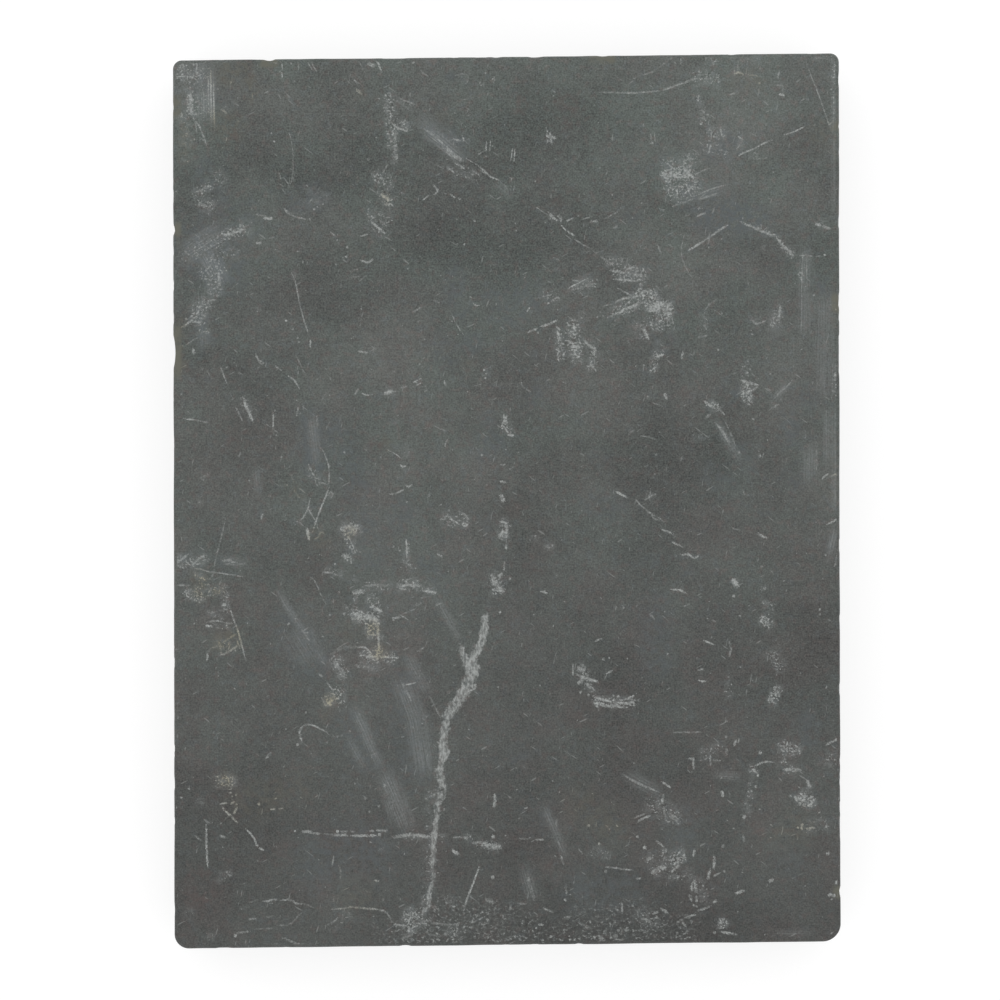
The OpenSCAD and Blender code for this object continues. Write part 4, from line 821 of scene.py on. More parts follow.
# Stains: width, strength, hue, then places as for scuffs
tints = [
    (9, .8, "warm", -97, 147, -92, 149), (5, .8, "warm", -88, 144, -87, 139),
    (8, .8, "warm", -98, 130, -94, 129), (7, .6, "warm", -112, 127, -110, 119), (5, .8, "red", -94, 124.6),
    (4, .5, "red", -98, 100), (9, .5, "blue", -105, 149, -103, 141), (8, .5, "blue", -97, 136),
    (10, .5, "blue", -104, 114, -99, 104), (9, .6, "blue", -72, 103, -66, 104),
    (10, .5, "blue", -100, 97, -88, 97), (4, .5, "warm", -50.4, 140), (4, .5, "warm", -42, 103.6),
    (5, .5, "red", -44, 129), (7, .7, "blue", -26, 127, -16, 122), (4, .5, "blue", -19, 145),
    (6, .7, "red", 5, 137), (4, .7, "red", 3.6, 134.4), (7, .5, "red", 23, 134.4, 19, 137),
    (6, .5, "red", 20, 129), (6, .4, "red", -2, 116), (6, .4, "red", 22, 106), (6, .4, "red", 18, 102),
    (6, .6, "red", 104, 142), (6, .5, "red", 101, 122), (7, .4, "red", 58, 135), (6, .4, "red", 94, 98),
    (5, .5, "red", 51, 104), (7, .6, "warm", 80, 144, 85, 144), (6, .6, "warm", 107, 128, 107, 124),
    (12, .9, "blue", 69, 99, 84, 96), (10, .6, "blue", 72, 120, 77, 122), (8, .5, "blue", 55, 115),
    (6, .5, "blue", 43, 97), (4, .6, "warm", 113, 128, 113, 118), (10, .5, "blue", 62, 104, 70, 103),
    (6, .4, "warm", -22, 131), (16, .9, "blue", -104, 88, -98, 80), (8, .8, "blue", -105, 60, -104, 56),
    (4, .7, "warm", -112.4, 62, -111.4, 46), (3, .6, "warm", -112.8, 92, -112.6, 88),
    (5, .5, "red", -85, 85.6), (4, .5, "red", -72, 77), (6, .6, "blue", -18, 78, -18, 70),
    (6, .6, "blue", -6.6, 71), (10, .6, "blue", 4, 71, 9, 69), (8, .6, "blue", -2, 64, 4, 64),
    (5, .5, "blue", 12, 66), (5, .5, "blue", -15, 63.6), (8, .6, "blue", -23, 53, -21, 49),
    (7, .6, "blue", -12, 54), (7, .5, "red", 4, 55, 9, 56), (5, .5, "blue", 10, 51),
    (6, .5, "blue", 10, 38, 10, 34), (5, .5, "red", -35, 34), (6, .5, "red", 38, 38),
    (5, .5, "red", 34, 55), (5, .4, "warm", -13, 46.4), (3, .6, "red", 47.6, 57), (8, .6, "blue", 108, 73),
    (8, .5, "blue", 54, 55), (8, .7, "blue", 76, 37), (6, .5, "blue", 48, 43), (10, .5, "blue", 102, 35),
    (4, .6, "red", 112, 63.4), (5, .4, "red", 99, 68), (4, .4, "red", 85, 67), (5, .5, "red", 61, 37),
    (3, .5, "warm", 113, 76, 113, 60), (9, .7, "blue", -67, 28, -66, 12), (10, .6, "blue", -58, 22, -50, 4),
    (8, .5, "blue", -48, -6, -46, -20), (6, .5, "blue", -54, -15), (5, .6, "warm", -106, -26, -104, -30),
    (4, .6, "warm", -74, 6, -71, 2), (5, .7, "warm", -65, -12, -63, -14), (4, .6, "warm", -53.6, -11),
    (6, .5, "red", -86, 5), (5, .5, "red", -89, -10), (8, .4, "red", -95, 22, -84, 20),
    (8, .4, "red", -64, -18), (6, .6, "red", -97, 26), (6, .6, "red", -45, 19),
    (9, .6, "blue", -8, 18, -4, 20), (6, .5, "blue", -6, 28), (6, .5, "blue", 32, 15),
    (9, .6, "blue", -37, -4, -35, -8), (6, .4, "blue", -6, -8), (6, .6, "blue", -28, -22, -23, -27),
    (9, .5, "blue", 30, 0, 36, -2), (4, .7, "red", -26, 25), (5, .5, "red", -14, 21), (8, .4, "red", 4, -3),
    (7, .4, "red", 10, -22), (6, .4, "red", 13, 28), (6, .5, "blue", -97, -20),
    (6, .5, "blue", -110, -20, -105, -20), (5, .5, "warm", -41, 20), (7, .6, "blue", 97, 28, 98, 22),
    (8, .5, "blue", 98, 7), (6, .5, "blue", 81, 17, 82, 13), (9, .5, "blue", 71, 7, 75, 5),
    (4, .6, "red", 77, -2), (6, .4, "red", 74, -17), (4, .5, "warm", 113, 22, 113, 0),
    (6, .5, "blue", 49, -22), (5, .5, "blue", 62, -25), (5, .6, "blue", 111, -15),
    (7, .8, "warm", -98, -48, -94, -47), (5, .8, "warm", -46, -44), (5, .8, "warm", -43.6, -51.6),
    (5, .8, "warm", -60.6, -68.4), (5, .6, "warm", -105, -31.6), (4, .6, "warm", -62, -73.6),
    (7, .5, "warm", -53, -45), (12, .6, "blue", -75, -44, -66, -56), (9, .6, "blue", -54, -76, -48, -88),
    (4, .5, "red", -92, -36), (6, .4, "red", -94, -86), (5, .4, "red", -60, -42), (6, .5, "red", -8, -77),
    (8, .4, "red", 26, -74), (10, .5, "blue", 51, -36, 52, -56), (8, .5, "blue", 104, -74, 103, -82),
    (5, .5, "blue", 4, -42), (12, .5, "blue", -36, -62, -32, -92), (8, .4, "blue", 4, -88),
    (20, .55, "blue", -62, -124, -48, -121), (14, .5, "warm", -52, -134),
    (7, .7, "red", -107, -136, -103, -136), (6, .5, "red", -107, -128, -103, -128),
    (8, .5, "red", -77, -121), (6, .8, "warm", -96.4, -95.6), (12, .5, "warm", -90, -104, -72, -98),
    (12, .5, "warm", 26, -104, 36, -112), (14, .5, "blue", 26, -134, 40, -134), (10, .4, "red", 16, -127),
    (6, .5, "red", 86, -114), (12, .5, "warm", 96, -116, 100, -112), (9, .5, "blue", 95, -121, 98, -123),
    (10, .45, "blue", 60, -110, 60, -116), (10, .4, "blue", 12, -108), (5, .5, "red", -101, 100),
    (6, .4, "warm", -98, 124), (4, .9, "warm", -104.3, -27.2), (4, .85, "warm", -99, -30.6),
    (3, .8, "warm", -106.8, -30.5),
]

marks = {
    "sheets": 7,       # scratches are shared among these, so that no two on one sheet are close
    "reach": 1.45,     # how far past its own edge a scratch is switched on
    "spare": 2.9,      # how far past its own edge a scratch's sheet is kept clear of others
    "fineness": 0.78,  # the cut's share of the noted width, the rest being its crushed edges
    "grazeRim": 4,     # how far past its width and ends a graze is laid
    "hues": ("warm", "red", "blue"),
}


def lineOf(places):  # x, y, x, y … as points; a single point is taken twice, as a line of no length
    points = np.array(places, float).reshape(-1, 2)
    return points if len(points) > 1 else np.repeat(points, 2, axis=0)


def nearLine(points, line):
    # Distance to a bent line, and place along and across it, from the straight run nearest to each point:
    # (p − a)·d along and d × (p − a) across, d being the run's direction. Both ends go on counting past it
    shape = points.shape[:-1]
    best, along, across = np.full(shape, 1e9), np.zeros(shape), np.zeros(shape)
    walked, last = 0, len(line) - 2
    for n, (a, b) in enumerate(zip(line[:-1], line[1:])):
        run = max(np.hypot(*(b - a)), 1e-6)
        direction = (b - a) / run if run > 1e-3 else np.array([1.0, 0.0])
        t = (points - a) @ direction
        side = direction[0] * (points - a)[..., 1] - direction[1] * (points - a)[..., 0]
        distance = np.hypot(t - np.clip(t, 0, run), side)
        place = t if n == 0 else np.clip(t, 0, None if n == last else run)
        nearer = distance < best
        best, along = np.where(nearer, distance, best), np.where(nearer, walked + place, along)
        across = np.where(nearer, side, across)
        walked += run
    return best, along, across, walked


def window(xy, line, reach):  # the part of the face's grid that is within reach of a line
    low, high = line.min(0) - reach, line.max(0) + reach
    i = np.searchsorted(xy[:, xy.shape[1] // 2, 0], (low[0] - 2, high[0] + 2))
    j = np.searchsorted(xy[xy.shape[0] // 2, :, 1], (low[1] - 2, high[1] + 2))
    return slice(*i), slice(*j)


def layPatches(field, xy, rows, reach, strengthAt):
    # The larger of what is there and strength·f(distance / width), f being strengthAt, within reach widths
    for width, strength, *places in rows:
        line = lineOf(places)
        part = window(xy, line, reach * width)
        distance = nearLine(xy[part], line)[0]
        field[part] = np.maximum(field[part], strength * strengthAt(distance / width))


def layScratches(xy):
    # Most bent and palest first, each scratch goes on the first sheet that is free round it. It leaves the
    # place along it from −1 to 1, the place across it from −1 to 1 and, within reach, how pale it is
    strokes = [(width * marks["fineness"], pale, lineOf(places)) for width, pale, *places in scratches + dots]
    strokes.sort(key=lambda stroke: -len(stroke[2]) - stroke[1])
    sheets = np.zeros((marks["sheets"],) + xy.shape[:2] + (3,))
    taken = np.zeros(sheets.shape[:3], bool)
    laid = 0
    for width, pale, line in strokes:
        half = width / 2
        part = window(xy, line, half + marks["spare"])
        distance, along, across, length = nearLine(xy[part], line)
        near = distance < half + marks["spare"]
        free = [n for n in range(len(sheets)) if not (taken[n][part] & near).any()]
        if free:
            paleness = pale * (distance < half + marks["reach"])
            place = np.stack([(along - length / 2) / (length / 2 + half), across / half, paleness], -1)
            taken[free[0]][part] |= near
            sheets[free[0]][part] = np.where(near[..., None], place, sheets[free[0]][part])
            laid += 1
    print("scratches and pits laid:", laid, "left out:", len(strokes) - laid)
    return sheets


def layGrazes(xy):
    # Each graze leaves its place along and across in mm, and its strength, which is greatest down the middle
    # and dies out at its sides and ends. Where two meet, the stronger stays
    rim = marks["grazeRim"]
    field = np.zeros(xy.shape[:2] + (3,))
    for width, strength, *places in grazes:
        line = lineOf(places)
        part = window(xy, line, width + rim)
        distance, along, across, length = nearLine(xy[part], line)
        ends = smooth(-rim, 5, along) * smooth(-rim, 5, length - along)
        sides = 1 - smooth(0.15 * width, 0.7 * width, np.abs(across))
        mask = 0.9 * strength * sides * ends * (distance < width + rim)
        stronger = (mask > field[part][..., 2])[..., None]
        field[part] = np.where(stronger, np.stack([along, across, mask], -1), field[part])
    return field


def addMarks(piece, xy, count):
    # One attribute to each kind of mark. The face's vertices come first, and the rest carry nothing
    def put(name, field):
        whole = np.zeros((count,) + field.shape[2:])
        whole[:field.shape[0] * field.shape[1]] = field.reshape((-1,) + field.shape[2:])
        addAttribute(piece, name, whole)

    for n, sheet in enumerate(layScratches(xy)):
        put(f"scratch{n + 1}", sheet)
    vein, scuff, tint = np.zeros(xy.shape[:2]), np.zeros(xy.shape[:2]), np.zeros(xy.shape[:2] + (3,))
    layPatches(vein, xy, veins, 1, lambda away: np.clip(1.25 - 1.5 * away, 0, 1))
    layPatches(scuff, xy, scuffs, 1, lambda away: 1 - smooth(0.2, 0.7, away))
    for n, hue in enumerate(marks["hues"]):
        rows = [row[:2] + row[3:] for row in tints if row[2] == hue]
        layPatches(tint[..., n], xy, rows, 1.2, lambda away: 1 - smooth(0.1, 0.9, away))
    put("vein", vein)
    put("scuff", scuff)
    put("graze", layGrazes(xy))
    put("tint", tint)
    put("flake", flakePatch(xy, slab))


# Short ways to add nodes. A value may be a number, a colour or another node's output
def addNode(tree, kind, sockets=None, **settings):
    made = tree.nodes.new("ShaderNode" + kind)
    for name, value in settings.items():
        setattr(made, name, value)
    for name, value in (sockets or {}).items():
        if isinstance(value, bpy.types.NodeSocket):
            tree.links.new(value, made.inputs[name])
        else:
            made.inputs[name].default_value = value
    return made


def calc(tree, operation, a, b=0.0, clamp=False):
    return addNode(tree, "Math", {0: a, 1: b}, operation=operation, use_clamp=clamp).outputs[0]


def times(tree, first, *others):  # the product of all of them
    for other in others:
        first = calc(tree, "MULTIPLY", first, other)
    return first


def largest(tree, first, *others):
    for other in others:
        first = calc(tree, "MAXIMUM", first, other)
    return first


def remap(tree, value, low, high, start, end, **settings):
    ends = {"Value": value, "From Min": low, "From Max": high, "To Min": start, "To Max": end}
    return addNode(tree, "MapRange", ends, **settings).outputs["Result"]


def fade(tree, value, low, high, start=0.0, end=1.0):  # start below low, end above high, 3t² − 2t³ between
    return remap(tree, value, low, high, start, end, interpolation_type="SMOOTHSTEP")


def stretch(tree, value, low, high, start, end):  # the straight line through both ends, and past them too
    return remap(tree, value, low, high, start, end, clamp=False)


def scaled(tree, vector, factors):  # each part of a vector times its own factor
    return addNode(tree, "VectorMath", {0: vector, 1: factors}, operation="MULTIPLY").outputs[0]


def split(tree, vector):
    return addNode(tree, "SeparateXYZ", {"Vector": vector}).outputs


def noise(tree, coordinates, size, detail=2.0, roughness=0.5, seed=0.0):  # size in mm, values round 0.5
    away = (seed * 0.173, seed * 0.071, seed * 0.117)
    moved = addNode(tree, "VectorMath", {0: coordinates, 1: away}, operation="ADD").outputs[0]
    return addNode(tree, "TexNoise", {
        "Vector": moved, "Scale": 1 / (size * mm), "Detail": detail, "Roughness": roughness}).outputs["Fac"]


def mix(tree, share, a, b, blend="MIX"):  # a where share is 0, b where it is 1
    a, b = (color if isinstance(color, bpy.types.NodeSocket) else (*color, 1) for color in (a, b))
    return addNode(tree, "Mix", {0: share, 6: a, 7: b}, data_type="RGBA", blend_type=blend).outputs[2]


def newGroup(name, inputs, outputs):  # inputs are name, kind and default; outputs are all single values
    tree = bpy.data.node_groups.new(name, "ShaderNodeTree")
    for label, kind, default in inputs:
        socket = tree.interface.new_socket(label, in_out="INPUT", socket_type="NodeSocket" + kind)
        if default is not None:
            socket.default_value = default
    for label in outputs:
        tree.interface.new_socket(label, in_out="OUTPUT", socket_type="NodeSocketFloat")
    return tree, tree.nodes.new("NodeGroupInput").outputs, tree.nodes.new("NodeGroupOutput").inputs


def useGroup(tree, group, sockets):
    return addNode(tree, "Group", sockets, node_tree=group).outputs


def attribute(tree, name, socket="Fac"):
    return addNode(tree, "Attribute", attribute_name=name).outputs[socket]


def newMaterial(name, sockets=None):
    made = bpy.data.materials.new(name)
    made.use_nodes = True
    tree = made.node_tree
    tree.nodes.clear()
    shader = addNode(tree, "BsdfPrincipled", sockets)
    tree.links.new(shader.outputs[0], addNode(tree, "OutputMaterial").inputs["Surface"])
    return made, tree, shader, addNode(tree, "TexCoord").outputs["Object"]


def addBump(tree, shader, height, depth):  # height from 0 to 1 stands for depth mm
    bump = addNode(tree, "Bump", {"Height": height, "Distance": depth * mm, "Strength": 1.0})
    tree.links.new(bump.outputs[0], shader.inputs["Normal"])


stone = {
    "base": (0.0577, 0.0616, 0.0574), "green": (0.0564, 0.0672, 0.0606), "brown": (0.064, 0.0599, 0.0559),
    "warm": (0.0903, 0.0843, 0.0628), "red": (0.0823, 0.0554, 0.0504), "blue": (0.0638, 0.0773, 0.0832),
    # the dark colour is painted shade, laid into the riven patch's recesses
    "fresh": (0.097, 0.097, 0.074), "dark": (0.028, 0.0288, 0.0272), "dust": (0.189, 0.2034, 0.2025),
    "chalk": (0.345, 0.36, 0.35), "warmChalk": (0.345, 0.314, 0.213),
    "grain": ((0.55, 0.92), (1.3, 0.34), (5.0, 0.18), (24.0, 0.30), (75.0, 0.46)),  # clouds' sizes and shares
    "contrast": 1.05,        # how strongly the grain shows
    "paintedLightSlope": 0.23,      # painted light: how much paler the back is painted than the middle, and the front darker, as the light falls
    "blotches": (20, 17),    # sizes of the green and of the brown ones
    "flecks": (2.4, 2.9),    # sizes of the red and of the blue ones
    "speckle": 0.78,         # size of the specks that scuffs are made of
    "streaks": (0.045, 1.9), # streaks to a millimetre, along a graze and across it
    "flakes": 1.05, "clumps": 4.5,                   # sizes in the riven patch
    "hairlines": ((0.5, 1.0), (1.35, 0.8), (2.5, 1.1)),  # direction in radians, and size
    "layers": 2.6, "tooling": 1.1, "sawLines": 1.6,  # sizes on the sides
    "roughness": 0.62, "markRoughness": 0.86,
    "markDepth": 0.10, "grainDepth": 0.035, "flakeBump": 0.22, "sawDepth": 0.16,
}


def scratchGroup():
    # A scratch is where a⁴ + q² + noise < 1, with a along it and q across it, and its floor is broken up
    tree, given, out = newGroup("scratch", [
        ("Field", "Vector", None), ("Ragged", "Float", 0.5), ("Broken", "Float", 0.5)], ["Mask"])
    parts = split(tree, given["Field"])
    ends = calc(tree, "POWER", calc(tree, "ABSOLUTE", parts["X"]), 4.0)
    edge = calc(tree, "ADD", ends, times(tree, parts["Y"], parts["Y"]))
    edge = calc(tree, "ADD", edge, stretch(tree, given["Ragged"], 0.3, 0.7, -1.0, 1.0))
    floor = calc(tree, "ADD", given["Broken"], times(tree, parts["Z"], 0.32))
    inside, floor = fade(tree, edge, 0.25, 1.35, 1.0, 0.0), fade(tree, floor, 0.54, 0.94, 0.12, 1.0)
    tree.links.new(times(tree, inside, parts["Z"], floor), out["Mask"])
    return tree


def grainGroup(clouds):
    # Honed stone's grain: the sum of share·(2·noise − 1) over its clouds, fine noise, and specks that are
    # 1 where the fine noise is high and −1 where it is low
    tree, given, out = newGroup("stoneGrain", [
        ("Coordinates", "Vector", None), ("Size", "Float", 1.0)], ["Grain", "Fine", "Specks"])
    scale = calc(tree, "DIVIDE", 1.0, given["Size"])
    at = addNode(tree, "VectorMath", {0: given["Coordinates"], "Scale": scale}, operation="SCALE").outputs[0]
    total = 0.0
    for n, (size, share) in enumerate(clouds):
        cloud = stretch(tree, noise(tree, at, size, 1.0, 0.5, 3.0 + n), 0.5, 1.0, 0.0, share)
        total = calc(tree, "ADD", total, cloud)
    fine = noise(tree, at, 0.6, 2.0, 0.6, 11.0)
    specks = calc(tree, "SUBTRACT", fade(tree, fine, 0.66, 0.78), fade(tree, fine, 0.22, 0.34, 1.0, 0.0))
    for name, value in (("Grain", total), ("Fine", fine), ("Specks", specks)):
        tree.links.new(value, out[name])
    return tree


def groundColor(tree, at, grain, values):
    # Green blotches, mostly to the back, brown ones, mostly to the front, and red and blue flecks, all times
    # painted light, a gradient palest at the back and darkest at the front, times 1 + contrast·grain, times 1
    # + ¼·specks
    y = split(tree, at)["Y"]
    greenSize, brownSize = values["blotches"]
    green = fade(tree, noise(tree, at, greenSize, 3.0, 0.6, 21), 0.40, 0.62, 1.0, 0.25)
    green = times(tree, green, fade(tree, y, -0.16, 0.10, 0.2, 1.0))
    brown = fade(tree, noise(tree, at, brownSize, 3.0, 0.6, 23), 0.46, 0.66, 0.0, 0.7)
    brown = times(tree, brown, fade(tree, y, -0.12, 0.14, 1.0, 0.25))
    color = mix(tree, brown, mix(tree, green, values["base"], values["green"]), values["brown"])
    for name, size, seed in zip(("red", "blue"), values["flecks"], (25, 27)):
        flecks = fade(tree, noise(tree, at, size, 1.0, 0.5, seed), 0.54, 0.70, 0.0, 0.25)
        color = mix(tree, flecks, color, values[name])
    # painted light: a gradient in the colour itself, paler to the back and darker to the front, standing in
    # for light that falls unevenly
    paintedLightFactor = stretch(tree, y, -0.15, 0.15, 1 - values["paintedLightSlope"], 1 + values["paintedLightSlope"])
    grained = calc(tree, "ADD", 1.0, times(tree, grain["Grain"], values["contrast"]))
    bright = times(tree, paintedLightFactor, grained, stretch(tree, grain["Specks"], 0, 1, 1.0, 1.25))
    gray = addNode(tree, "CombineXYZ", {"X": bright, "Y": bright, "Z": bright}).outputs[0]
    return mix(tree, 1.0, color, gray, "MULTIPLY")


def stained(tree, at, color, stains, values):
    # Each hue by its stain's strength times a mottle, then new stone where the chips have bared it
    mottle = fade(tree, noise(tree, at, 2.2, 3.0, 0.6, 31), 0.38, 0.62)
    for name, axis, share in (("red", "Y", 0.6), ("blue", "Z", 0.85), ("warm", "X", 0.6)):
        color = mix(tree, times(tree, stains[axis], mottle, share), color, values[name])
    bared = fade(tree, noise(tree, at, 2.6, 4.0, 0.6, 35), 0.34, 0.52, 0.2, 0.9)
    return mix(tree, times(tree, attribute(tree, "fresh"), bared), color, values["fresh"])


def scratchMask(tree, at, broken, speckle, flake):
    # The palest scratch of all the sheets, broken up by the specks, and fainter on the riven patch
    group, ragged = scratchGroup(), noise(tree, at, 0.46, 2.0, 0.65, 41)
    mask = 0.0
    for n in range(marks["sheets"]):
        sheet = attribute(tree, f"scratch{n + 1}", "Vector")
        one = useGroup(tree, group, {"Field": sheet, "Ragged": ragged, "Broken": broken})["Mask"]
        mask = largest(tree, mask, one)
    return times(tree, mask, fade(tree, speckle, 0.34, 0.58, 0.32, 1.0), stretch(tree, flake, 0, 1, 1.0, 0.6))


def scuffMask(tree, at, patch, speckle):
    # Specks where the noise passes a threshold that falls as the patch gets denser, of uneven brightness
    over = calc(tree, "SUBTRACT", speckle, stretch(tree, patch, 0, 1, 0.67, 0.435))
    uneven = fade(tree, noise(tree, at, 1.7, 2.0, 0.6, 55), 0.36, 0.60, 0.50, 1.0)
    return times(tree, fade(tree, over, 0.0, 0.11), fade(tree, patch, 0.05, 0.5), uneven)


def grazeMask(tree, speckle, values):
    # The graze's strength times noise that is drawn out along it, broken up by the specks
    field = attribute(tree, "graze", "Vector")
    drawnOut = scaled(tree, field, (*values["streaks"], 0.0))
    streaks = addNode(tree, "TexNoise", {"Vector": drawnOut, "Scale": 1.0, "Detail": 3.0, "Roughness": 0.6})
    graze = times(tree, split(tree, field)["Z"], fade(tree, streaks.outputs["Fac"], 0.35, 0.68, 0.38, 1.75))
    return calc(tree, "MULTIPLY", graze, fade(tree, speckle, 0.30, 0.66, 0.35, 1.0), clamp=True)


def veinMask(tree, at, broken):
    # The vein's strength plus noise of ±0.35, cut off below 0.3 to 0.75, times a mottle that runs along it
    edge = calc(tree, "ADD", attribute(tree, "vein"), stretch(tree, broken, 0.3, 0.7, -0.35, 0.35))
    mottle = noise(tree, scaled(tree, at, (1.0, 0.45, 1.0)), 0.9, 4.0, 0.7, 57)
    return times(tree, fade(tree, edge, 0.3, 0.75), fade(tree, mottle, 0.38, 0.64, 0.16, 0.82))


def prickMask(tree, at, values):
    # Scattered pinpricks where noise is high, and fainter hairlines from noise drawn out five times
    pricks = fade(tree, noise(tree, at, 1.5, 1.0, 0.5, 71), 0.76, 0.82)
    for n, (angle, size) in enumerate(values["hairlines"]):
        turned = addNode(tree, "Mapping", {"Vector": at, "Rotation": (0, 0, angle), "Scale": (5, 1, 1)},
                         vector_type="TEXTURE").outputs[0]
        hair = fade(tree, noise(tree, turned, size, 1.0, 0.5, 73 + n), 0.735, 0.80)
        pricks = largest(tree, pricks, times(tree, hair, 0.6))
    return pricks


def stoneMaterial(values):
    made, tree, shader, at = newMaterial("honedSlate", {"IOR": 1.5})
    grain = useGroup(tree, grainGroup(values["grain"]), {"Coordinates": at, "Size": 1.0})
    stains = split(tree, attribute(tree, "tint", "Vector"))
    patch, flake, cut = (attribute(tree, name) for name in ("scuff", "flake", "cut"))
    speckle = noise(tree, at, values["speckle"], 4.0, 0.7, 51)
    broken = noise(tree, at, 1.5, 3.0, 0.65, 43)
    scratched = scratchMask(tree, at, broken, speckle, flake)

    # the riven patch: pale crests where its noise is high, in clumps, and painted shade, a darker colour, in
    # the recesses where it is low
    riven = noise(tree, scaled(tree, at, (0.8, 1.0, 1.0)), values["flakes"], 4.0, 0.7, 61)
    clump = fade(tree, noise(tree, at, values["clumps"], 3.0, 0.65, 63), 0.34, 0.64, 0.25, 1.3)
    crest = calc(tree, "MULTIPLY", times(tree, flake, clump), fade(tree, riven, 0.52, 0.70), clamp=True)
    paintedRecessShade = times(tree, flake, fade(tree, riven, 0.34, 0.50, 1.0, 0.0))

    # the sawn sides: flat layers of slate, and tooling
    layers = noise(tree, scaled(tree, at, (0.16, 0.16, 1.0)), values["layers"], 4.0, 0.62, 81)
    tooling = noise(tree, at, values["tooling"], 4.0, 0.7, 83)
    dressed = calc(tree, "ADD", fade(tree, layers, 0.36, 0.66, 0.0, 0.20),
                   fade(tree, tooling, 0.40, 0.68, 0.02, 0.20))

    # from the ground up: stains, painted shade in the riven recesses, the dust of grazes, scuffs and sides,
    # and chalk in the marks
    haze = times(tree, patch, fade(tree, noise(tree, at, 2.6, 5.0, 0.7, 53), 0.40, 0.66, 0.0, 0.5))
    pricks = times(tree, prickMask(tree, at, values), calc(tree, "SUBTRACT", 1.0, cut, clamp=True))
    pale = largest(
        tree, scratched, times(tree, scuffMask(tree, at, patch, speckle), 0.85), veinMask(tree, at, broken),
        times(tree, crest, 0.75), times(tree, pricks, 0.45))
    color = stained(tree, at, groundColor(tree, at, grain, values), stains, values)
    # painted shade: the riven patch's recesses, where its relief is lowest, are coloured darker
    color = mix(tree, times(tree, paintedRecessShade, 0.6), color, values["dark"])
    color = mix(tree, largest(tree, grazeMask(tree, speckle, values), haze), color, values["dust"])
    color = mix(tree, times(tree, cut, dressed), color, values["dust"])
    color = mix(tree, pale, color, mix(tree, stains["X"], values["chalk"], values["warmChalk"]))
    tree.links.new(color, shader.inputs["Base Color"])

    worn = largest(tree, pale, times(tree, cut, 0.7))
    rough = stretch(tree, worn, 0, 1, values["roughness"], values["markRoughness"])
    rough = calc(tree, "ADD", rough, stretch(tree, grain["Fine"], 0, 1, -0.08, 0.08))
    tree.links.new(rough, shader.inputs["Roughness"])

    # relief in mm: the grain, less the scratches, and with the riven crests and saw lines down the sides
    relief = stretch(tree, grain["Fine"], 0, 1, 0, values["grainDepth"])
    relief = calc(tree, "SUBTRACT", relief, times(tree, scratched, values["markDepth"]))
    relief = calc(tree, "ADD", relief, times(tree, riven, flake, values["flakeBump"]))
    sawn = noise(tree, scaled(tree, at, (1.0, 1.0, 0.12)), values["sawLines"], 3.0, 0.6, 91)
    relief = calc(tree, "ADD", relief, times(tree, sawn, cut, values["sawDepth"]))
    addBump(tree, shader, relief, 1.0)
    return made


rubber = {
    "base": (0.022, 0.022, 0.023), "scuffed": (0.07, 0.07, 0.068),
    "roughness": 0.58, "scuffedRoughness": 0.8,
    "rubbed": 0.0025,  # height in metres that the bench rubs up to
}


def rubberMaterial(values):  # fine matt grain, greyer in patches where it has rubbed, mostly low down
    made, tree, shader, at = newMaterial("mouldedRubber", {"IOR": 1.52})
    low = fade(tree, split(tree, at)["Z"], 0.0, values["rubbed"], 1.0, 0.0)
    rub = times(tree, fade(tree, noise(tree, at, 4, 4.0, 0.6, 5), 0.5, 0.7),
                calc(tree, "ADD", 0.25, times(tree, low, 0.75)))
    tree.links.new(mix(tree, rub, values["base"], values["scuffed"]), shader.inputs["Base Color"])
    rough = stretch(tree, rub, 0, 1, values["roughness"], values["scuffedRoughness"])
    tree.links.new(rough, shader.inputs["Roughness"])
    addBump(tree, shader, noise(tree, at, 0.5, 2.0, 0.6, 7), 0.04)
    return made


foam = {"base": (0.56, 0.56, 0.52), "grimy": (0.34, 0.33, 0.29), "roughness": (0.72, 0.95), "cell": 0.35}


def foamMaterial(values):  # adhesive foam: open cells at the cut edge, a little grimy
    made, tree, shader, at = newMaterial("adhesiveFoam")
    grime = fade(tree, noise(tree, at, 3, 3.0, 0.6, 15), 0.45, 0.7)
    tree.links.new(mix(tree, grime, values["base"], values["grimy"]), shader.inputs["Base Color"])
    cells = addNode(tree, "TexVoronoi", {"Vector": at, "Scale": 1 / (values["cell"] * mm)})
    cells = cells.outputs["Distance"]
    tree.links.new(stretch(tree, cells, 0, 1, *values["roughness"]), shader.inputs["Roughness"])
    addBump(tree, shader, cells, 0.08)
    return made


foot = {
    "flange": 22, "tread": 18.5, "height": 6, "flangeHeight": 1.2, "rim": 1.5, "steps": 96,
    "grooves": 3, "grooveWidth": 0.7, "grooveDepth": 0.5, "grooveLip": 0.12,
    "lip": 0.25,                          # round on the flange's edges
    "parting": 0.06,                      # how far the flange is cut back to both sides of its parting line
    "dimple": 1.6, "dimpleDepth": 0.18,   # the mould pin's dimple in the tread, its radius and depth
}
adhesive = {"diameter": 20.4, "squeeze": 0.12, "steps": 96}


